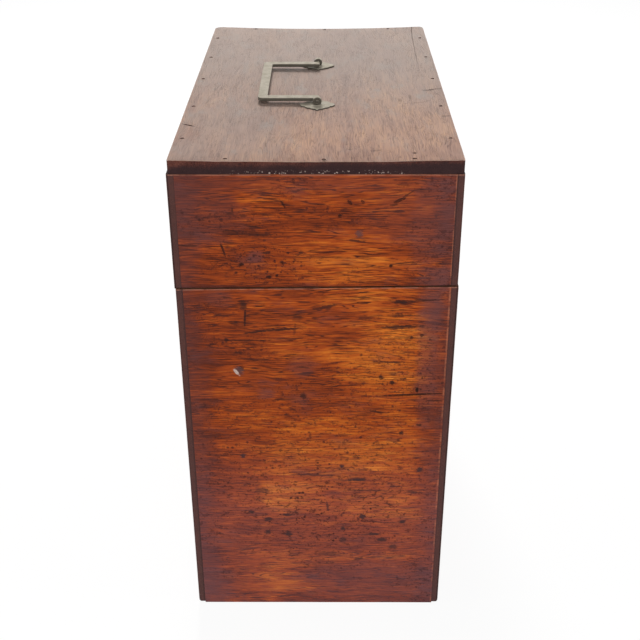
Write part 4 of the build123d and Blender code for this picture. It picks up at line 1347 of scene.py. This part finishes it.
# The handle's dark sides are painted shade.
HANDLE_BRASS = Metal(
    "handle_brass",
    (0.46, 0.41, 0.325),
    (0.36, 0.32, 0.245),
    (0.040, 0.034, 0.026),
    metallic=0.6,
    roughness=0.45,
    grime_and_painted_light=0.88,
)
FITTING_BRASS = Metal(
    "fitting_brass",
    (0.62, 0.47, 0.20),
    (0.30, 0.21, 0.10),
    (0.06, 0.04, 0.025),
    dulling=0.55,
)
IRON = Metal(
    "iron",
    (0.16, 0.15, 0.14),
    (0.09, 0.045, 0.030),
    (0.02, 0.014, 0.012),
    metallic=0.7,
    roughness=0.5,
    dulling=0.8,
    stopped=True,
)
GREEN_BAIZE = Baize("green_baize", (0.030, 0.085, 0.040), (0.085, 0.125, 0.065))


@dataclass(frozen=True)
class Board:
    """One board of the box, worn on its outer sides and cut to its joints.

    Args:
        node: The CAD node that it stands for.
        body: The CAD body that it moves with.
        slot: The record's material slot.
        outer: The sides that show on the outside of the box.
        finishes: The finish of those sides, then of the hidden ones.
        marks: The marks that are cut into it.
        rounded: Pairs of outer sides whose shared edge is rounded most.
        spacing: How far apart its mesh's lines are.
        arris: How far its arrises are worn off.
        rounding: The radius of the edges that are rounded most.
        wear: The depth of the deepest wear of its faces.
        hollow: The size of the hollows in its faces.
        margin: How far it reaches into a neighbour before it is cut to its joints.
        scoop_rise: How much deeper a scoop is cut than its mark is deep, in millimetres.
    """

    node: str
    body: str
    slot: str
    outer: tuple[Side, ...]
    finishes: tuple[Mahogany, ...]
    marks: tuple[Mark, ...] = ()
    rounded: tuple[tuple[Side, Side], ...] = ()
    spacing: float = 4.0 * MM
    arris: float = 0.6 * MM
    rounding: float = 3.4 * MM
    wear: float = 0.10 * MM
    hollow: float = 26.0 * MM
    margin: float = 3.0 * MM
    scoop_rise: float = 0.2

    def build(self, materials: Materials) -> Piece:
        """Models the board and dresses it."""
        low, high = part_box(self.node)
        plank = self._plank(low, high)
        joints = copy_of_node(self.node, f"{self.node}_joints")
        for piece in (plank, joints):
            for finish in self.finishes:
                piece.data.materials.append(materials[finish.name])
            for face in piece.data.polygons:
                face.material_index = self._finish_at(face.center, face.normal, low, high)
        cut(plank, joints, "INTERSECT")
        self._carve(plank, low, high)
        shade(plank, 32)
        return dress(plank, self.node, self.body, self.slot)

    def _plank(self, low: Vector, high: Vector) -> Piece:
        """A plank with worn arrises, a little too large wherever another piece meets it."""
        small, large = low.copy(), high.copy()
        for side in Side:
            axis, sign = side.value
            if side not in self.outer:
                (small if sign < 0 else large)[axis] += sign * self.margin
        plank = block(f"{self.node}_wood", small, large)
        bounds = {side: (small if side.value[1] < 0 else large)[side.value[0]] for side in self.outer}

        def lies_in(side: Side, point: Vector) -> bool:
            """Whether a point lies in a side."""
            return abs(point[side.value[0]] - bounds[side]) < 0.01 * MM

        def shared_by(sides: Iterable[Side], first: Vector, second: Vector) -> int:
            """How many of the sides an edge lies in."""
            return sum(lies_in(side, first) and lies_in(side, second) for side in sides)

        for pair in self.rounded:
            bevel(plank, lambda a, b: shared_by(pair, a, b) == 2, self.rounding, 5)
        bevel(plank, lambda a, b: shared_by(self.outer, a, b) > 1, self.arris, 3, 0.6)
        for axis in range(3):
            length = large[axis] - small[axis]
            cuts = round(length / self.spacing) - 1
            if cuts > 0:
                divide_along(plank, axis, length, cuts)
        roughen(plank, self.hollow, self.wear)
        return plank

    def _finish_at(self, centre: Vector, normal: Vector, low: Vector, high: Vector) -> int:
        """Which of the finishes a face of the board has."""
        for side in self.outer:
            axis, sign = side.value
            bound = (low if sign < 0 else high)[axis]
            if normal.dot(side.outward) > 0.3 and abs(centre[axis] - bound) < 2 * MM:
                return 0
        return 0 if normal.z > 0.9 and abs(centre.z - BOX.rim) < 0.1 * MM else 1

    def _carve(self, plank: Piece, low: Vector, high: Vector) -> None:
        """Cuts the board's deeper marks as shallow scoops."""
        order = ["XYZ".index(axis) for axis in self.finishes[0].grain.value]
        for mark in self.marks:
            centre = Vector((0, 0, 0))
            for axis, value in zip(order, (mark.along, mark.across, self.finishes[0].face)):
                centre[axis] = value * MM
            inside = all(low[axis] <= centre[axis] <= high[axis] for axis in order[:2])
            if mark.depth and inside:
                cut(plank, self._scoop(mark, centre, order), "DIFFERENCE")

    def _scoop(self, mark: Mark, centre: Vector, order: list[int]) -> Piece:
        """A flattened ball that cuts one mark to its depth."""
        bpy.ops.object.select_all(action="DESELECT")
        bpy.ops.mesh.primitive_uv_sphere_add(segments=16, ring_count=8, radius=1, location=centre)
        ball = bpy.context.active_object
        halves = Vector((1, 1, 1))
        for axis, value in zip(order, (mark.length, mark.width, mark.depth + self.scoop_rise)):
            halves[axis] = value * MM
        turn = Matrix.Rotation(math.radians(mark.turn), 4, "XYZ"[order[2]])
        ball.matrix_world = Matrix.Translation(centre) @ turn @ Matrix.Diagonal((*halves, 1))
        settle(ball)
        return ball


@dataclass(frozen=True)
class TopBoard(Board):
    """The cupped top board, split near the front. Its finishes are those of its top, underside and edges.

    Args:
        split_line: X and Y of the split in millimetres, from the far end inwards.
        split_width: How wide it gapes at the far end.
        split_depth: How deep it is there.
        split_end: How far from the board's end it starts.
        split_narrow: The share of its width that is left at its inner end.
        split_shallow: The share of its depth that is left there.
        split_foot: The share of its width that is left at its bottom.
        split_cuts: How often it is divided along its length.
        flat: How far a face may look up or down and still belong to the edges.
    """

    split_line: tuple[tuple[float, float], ...] = (
        (137.9, -67.3),
        (126.0, -66.5),
        (101.0, -65.5),
        (62.0, -64.8),
        (16.0, -64.1),
    )
    split_width: float = 0.7 * MM
    split_depth: float = 2.4 * MM
    split_end: float = 0.6 * MM
    split_narrow: float = 0.16
    split_shallow: float = 0.25
    split_foot: float = 0.15
    split_cuts: int = 39
    flat: float = 0.5

    def _finish_at(self, centre: Vector, normal: Vector, low: Vector, high: Vector) -> int:
        """Which of the finishes a face of the top board has."""
        if normal.z < -self.flat:
            return 1
        edge = min(centre.x - low.x, high.x - centre.x, centre.y - low.y, high.y - centre.y)
        return 2 if abs(normal.z) < self.flat and edge < 5 * MM else 0

    def _carve(self, plank: Piece, low: Vector, high: Vector) -> None:
        """Cuts the dents and the split."""
        super()._carve(plank, low, high)
        cut(plank, self._split(high), "DIFFERENCE")

    def _split(self, high: Vector) -> Piece:
        """The wedge of air in the split, widest and deepest at the far end."""
        points = [Vector((x * MM, y * MM, 0)) for x, y in self.split_line]
        start, length = points[-1].x, high.x - self.split_end - points[-1].x
        wedge = block("split", Vector((start, -1, 0)), Vector((start + length, 1, 1)))
        divide_along(wedge, 0, length, self.split_cuts)
        for vertex in wedge.data.vertices:
            opening = max((vertex.co.x - start) / length, 0.0) ** 0.7
            width = self.split_width * (self.split_narrow + (1 - self.split_narrow) * opening)
            wander = 0.12 * MM * math.sin(vertex.co.x * 310) + 0.08 * MM * math.sin(vertex.co.x * 905)
            lower = vertex.co.z < 0.5
            side = 1 if vertex.co.y > 0 else -1
            reach = side * width / 2 * (self.split_foot if lower else 1.0)
            vertex.co.y = self._line_at(vertex.co.x, points) + wander + reach
            depth = self.split_depth * (self.split_shallow + (1 - self.split_shallow) * opening)
            vertex.co.z = high.z - depth if lower else high.z + 1 * MM
        return wedge

    @staticmethod
    def _line_at(x: float, points: list[Vector]) -> float:
        """The split's place across the board at one place along it."""
        for far, near in zip(points, points[1:]):
            if x >= near.x:
                return near.y + (far.y - near.y) * (x - near.x) / (far.x - near.x)
        return points[-1].y


class Carcase:
    """The walls of the base and the lid, the top board, and the bare boards inside."""

    def build(self, materials: Materials) -> None:
        """Builds every board and dresses the bare ones."""
        for board in (*self.walls(), self.top()):
            board.build(materials)
        for node, finish in (("bottom_board", BARE_WOOD), ("cell_divider", BARE_END_WOOD)):
            finish_node(node, materials[finish.name])

    @staticmethod
    def walls() -> list[Board]:
        """The eight walls."""
        made = []
        for body, under in (("base", (Side.UNDER,)), ("lid", ())):
            for name, side in (("front", Side.FRONT), ("back", Side.BACK)):
                outer = (side, Side.LEFT, Side.RIGHT, *under)
                rounded = tuple((side, other) for other in under)
                finishes = (LONG_WOOD, BARE_WOOD)
                node = f"{body}_{name}_board"
                made.append(Board(node, body, "wall_mahogany", outer, finishes, rounded=rounded))
            for name, side in (("left", Side.LEFT), ("right", Side.RIGHT)):
                finishes = (END_WOOD, BARE_END_WOOD)
                marks = END_MARKS if side is Side.LEFT else ()
                node = f"{body}_{name}_end"
                made.append(Board(node, body, "wall_mahogany", (side, *under), finishes, marks))
        return made

    @staticmethod
    def top() -> TopBoard:
        """The top board."""
        outer = (Side.LEFT, Side.RIGHT, Side.FRONT, Side.BACK)
        rounded = ((Side.RIGHT, Side.BACK), (Side.RIGHT, Side.FRONT))
        finishes = (TOP_WOOD, BARE_WOOD, TOP_EDGE_WOOD)
        return TopBoard(
            "top_board",
            "lid",
            "top_mahogany",
            outer,
            finishes,
            TOP_MARKS,
            rounded,
            wear=0.3 * MM,
        )


def finish_node(node: str, material: Material) -> None:
    """Gives a CAD node that stays its finish."""
    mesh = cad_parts[node].data
    mesh.materials.clear()
    mesh.materials.append(material)


class Handle:
    """The brass bail, its eye posts and its backplates, each worn round by use."""

    castings = (
        ("handle_bail", "bail", 0.30, 3),
        ("handle_plate_left", "lid", 0.20, 2),
        ("handle_plate_right", "lid", 0.20, 2),
        ("handle_post_left", "lid", 0.20, 2),
        ("handle_post_right", "lid", 0.20, 2),
    )

    def build(self, materials: Materials) -> None:
        """Builds the castings and finishes the nuts."""
        for node, body, cell, rounds in self.castings:
            self._casting(node, body, cell * MM, rounds, materials[HANDLE_BRASS.name])
        finish_node("handle_nuts", materials[HANDLE_BRASS.name])

    @staticmethod
    def _casting(node: str, body: str, cell: float, rounds: int, material: Material) -> None:
        """A casting whose corners are worn round, from a fine remesh of the CAD solid."""
        piece = copy_of_node(node, f"{node}_casting")
        apply_modifier(piece, "REMESH", mode="VOXEL", voxel_size=cell)
        apply_modifier(piece, "SMOOTH", factor=0.5, iterations=rounds)
        roughen(piece, grain_size=3.0 * MM, depth=0.10 * MM, step=0.0)
        shade(piece, 60)
        dress(piece, node, body, "handle_brass", material)


class Linings:
    """The baize of the cells and the lid."""

    cloth = 1.0 * MM
    inset = 0.08 * MM
    bend = 2.2 * MM
    sleeve_spacing = 5 * MM
    pad_spacing = 4 * MM
    softness = 0.3

    def build(self, materials: Materials) -> None:
        """Builds the sleeves, the pads and the lid's lining."""
        baize = materials[GREEN_BAIZE.name]
        for side in ("left", "right"):
            self._sleeve(f"{side}_cell_lining", baize)
            self._pad(f"{side}_cell_pad", "base", baize)
        self._pad("lid_lining", "lid", baize)

    def _sleeve(self, node: str, baize: Material) -> None:
        """A strip of baize round the four walls of a cell, with soft corners and a wavy upper edge."""
        low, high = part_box(node)
        room = Vector((self.inset, self.inset, 0))
        sleeve = block(f"{node}_cloth", low + room, high - room - Vector((0, 0, 0.4 * MM)))
        bevel(sleeve, lambda a, b: abs(a.z - b.z) > 10 * MM, self.bend, 4)
        self._open_ends(sleeve)
        for axis in range(3):
            length = high[axis] - low[axis]
            divide_along(sleeve, axis, length, round(length / self.sleeve_spacing))
        for vertex in sleeve.data.vertices:
            if vertex.co.z > high.z - 2 * MM:
                vertex.co.z -= 0.5 * MM * (1 + math.sin(vertex.co.x * 170 + vertex.co.y * 230))
        roughen(sleeve, grain_size=12 * MM, depth=0.12 * MM)
        apply_modifier(sleeve, "SOLIDIFY", thickness=self.cloth, offset=-1.0)
        shade(sleeve, 50)
        dress(sleeve, node, "base", "green_baize", baize)

    @staticmethod
    def _open_ends(sleeve: Piece) -> None:
        """Takes away the faces that look up and down."""
        for face in sleeve.data.polygons:
            face.select = abs(face.normal.z) > 0.9
        bpy.context.tool_settings.mesh_select_mode = (False, False, True)
        edit(sleeve, lambda: bpy.ops.mesh.delete(type="FACE"), select_all=False)

    def _pad(self, node: str, body: str, baize: Material) -> None:
        """A flat piece of baize with soft edges, rucked a little where it has come unstuck."""
        low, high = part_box(node)
        thickness = high.z - low.z
        room = Vector((0.3 * MM, 0.3 * MM, self.inset))
        pad = block(f"{node}_cloth", low + room, high - room)
        soft = self.softness * thickness
        bevel(pad, lambda a, b: (a - b).length > 5 * MM, soft, 2)
        for axis in range(2):
            length = high[axis] - low[axis]
            divide_along(pad, axis, length, round(length / self.pad_spacing))
        roughen(pad, grain_size=16 * MM, depth=soft, step=0.0)
        shade(pad, 50)
        dress(pad, node, body, "green_baize", baize)


class Hardware:
    """The hinges, the lock and the pins, which keep their CAD meshes."""

    brass = (
        *(
            f"{side}_hinge_{part}"
            for part in ("base_leaf", "lid_leaf", "pin")
            for side in ("left", "right")
        ),
        "base_hinge_screws",
        "lid_hinge_screws",
        "lock_case",
        "lock_cap",
        "lock_bolt",
        "lock_screws",
        "keyhole_escutcheon",
        "link_plate",
        "link_plate_screws",
    )
    iron = (
        "base_corner_pins",
        "bottom_pins",
        "lid_corner_pins",
        "top_pins",
        "lock_drill_pin",
        "lock_spring",
        "lock_studs",
    )

    def build(self, materials: Materials) -> None:
        """Gives each fitting its finish."""
        for nodes, finish in ((self.brass, FITTING_BRASS), (self.iron, IRON)):
            for node in nodes:
                finish_node(node, materials[finish.name])


@dataclass(frozen=True)
class Lamp:
    """A round soft light that faces the box and shows in no reflection.

    Args:
        name: The lamp's name.
        power: Its power in watts.
        place: Where it stands, in metres.
        size: How wide it is, in metres.
        target: What it points at, in metres.
    """

    name: str
    power: float
    place: Triple
    size: float
    target: Triple = (0.0, 0.0, 0.15)

    def build(self) -> None:
        """Adds the lamp."""
        data = bpy.data.lights.new(self.name, "AREA")
        data.shape = "DISK"
        data.size = self.size
        data.energy = self.power
        lamp = bpy.data.objects.new(self.name, data)
        bpy.context.scene.collection.objects.link(lamp)
        lamp.location = self.place
        aim = Vector(self.target) - Vector(self.place)
        lamp.rotation_euler = aim.to_track_quat("-Z", "Y").to_euler()
        lamp.visible_glossy = False


@dataclass(frozen=True)
class Studio:
    """The floor, the light and the camera, in metres and degrees."""

    eye: Triple = (-0.6434, -0.0054, 0.4872)
    heading: float = -89.6
    downward: float = 29.043
    roll: float = -0.177
    focal_pixels: float = 1061.6
    image_pixels: float = 640.0
    sensor: float = 36.0
    ambient: float = 0.28
    floor_glow: float = 0.93
    lamps: tuple[Lamp, ...] = (
        Lamp("key", 32.0, (1.35, 0.15, 1.15), 0.35),
        Lamp("near_fill", 16.0, (-1.6, -0.15, 0.40), 1.0),
        Lamp("front_fill", 15.0, (-0.2, -1.6, 0.30), 1.0),
        Lamp("back_fill", 15.0, (-0.2, 1.6, 0.30), 1.0),
    )

    def build(self) -> None:
        """Builds the camera, the light and the floor."""
        self._camera()
        self._world()
        for lamp in self.lamps:
            lamp.build()
        self._floor()
        bpy.context.scene.view_settings.view_transform = "Standard"

    def _camera(self) -> None:
        """A camera at the photograph's place, with its focal length."""
        data = bpy.data.cameras.new("camera")
        data.sensor_width = self.sensor
        data.lens = self.sensor * self.focal_pixels / self.image_pixels
        data.clip_start, data.clip_end = 0.01, 50
        camera = bpy.data.objects.new("camera", data)
        bpy.context.scene.collection.objects.link(camera)
        turn = (
            Matrix.Rotation(math.radians(self.heading), 4, "Z")
            @ Matrix.Rotation(math.radians(90 - self.downward), 4, "X")
            @ Matrix.Rotation(math.radians(self.roll), 4, "Z")
        )
        camera.matrix_world = Matrix.Translation(self.eye) @ turn
        bpy.context.scene.camera = camera

    @staticmethod
    def _seen(graph: Graph) -> Socket:
        """A mask of the rays that show the background: to the camera, in gloss and through glass."""
        path = graph.node("ShaderNodeLightPath").outputs
        seen = graph.larger(path["Is Camera Ray"], path["Is Glossy Ray"])
        return graph.larger(seen, path["Is Transmission Ray"])

    @staticmethod
    def _join(graph: Graph, kind: str, share: Socket, first: Socket, second: Socket) -> None:
        """Mixes two shaders by a share into a material's or a world's output."""
        mix = graph.node("ShaderNodeMixShader")
        for socket, value in zip(mix.inputs, (share, first, second)):
            graph.feed(socket, value)
        output = graph.node(f"ShaderNodeOutput{kind}")
        graph.feed(output.inputs["Surface"], mix.outputs[0])

    def _world(self) -> None:
        """An even pale sky that is white where it is seen."""
        world = bpy.data.worlds.new("studio")
        bpy.context.scene.world = world
        graph = cleared(world)
        skies = []
        for strength in (self.ambient, 1.0):
            sky = graph.node("ShaderNodeBackground")
            graph.feed(sky.inputs["Color"], (1, 1, 1, 1))
            graph.feed(sky.inputs["Strength"], strength)
            skies.append(sky.outputs[0])
        self._join(graph, "World", self._seen(graph), *skies)

    def _floor(self) -> None:
        """A wide white floor that keeps a faint shadow of the box."""
        bpy.ops.object.select_all(action="DESELECT")
        bpy.ops.mesh.primitive_plane_add(size=30, location=(0, 0, 0))
        floor = bpy.context.active_object
        floor.name = "floor"
        material = bpy.data.materials.new("floor")
        graph = cleared(material)
        matt = graph.node("ShaderNodeBsdfDiffuse")
        graph.feed(matt.inputs["Color"], (0.92, 0.92, 0.92, 1))
        glow = graph.node("ShaderNodeEmission")
        graph.feed(glow.inputs["Color"], (1, 1, 1, 1))
        graph.feed(glow.inputs["Strength"], 1.0)
        share = graph.times(self._seen(graph), self.floor_glow)
        self._join(graph, "Material", share, matt.outputs[0], glow.outputs[0])
        floor.data.materials.append(material)


def build_materials() -> Materials:
    """Builds the shared effects and every finish.

    Returns:
        The materials by name.
    """
    Effects().build()
    woods = (END_WOOD, LONG_WOOD, TOP_WOOD, TOP_EDGE_WOOD, BARE_WOOD, BARE_END_WOOD)
    finishes = (*woods, HANDLE_BRASS, FITTING_BRASS, IRON, GREEN_BAIZE)
    return {finish.name: finish.build() for finish in finishes}


def main() -> None:
    """Builds the studio and every part of the box."""
    logging.basicConfig(level=logging.INFO, format="%(name)s: %(message)s")
    Studio().build()
    materials = build_materials()
    for part in (Carcase(), Handle(), Linings(), Hardware()):
        part.build(materials)
        LOG.info("%s done", type(part).__name__)


if __name__ == "__main__":
    main()
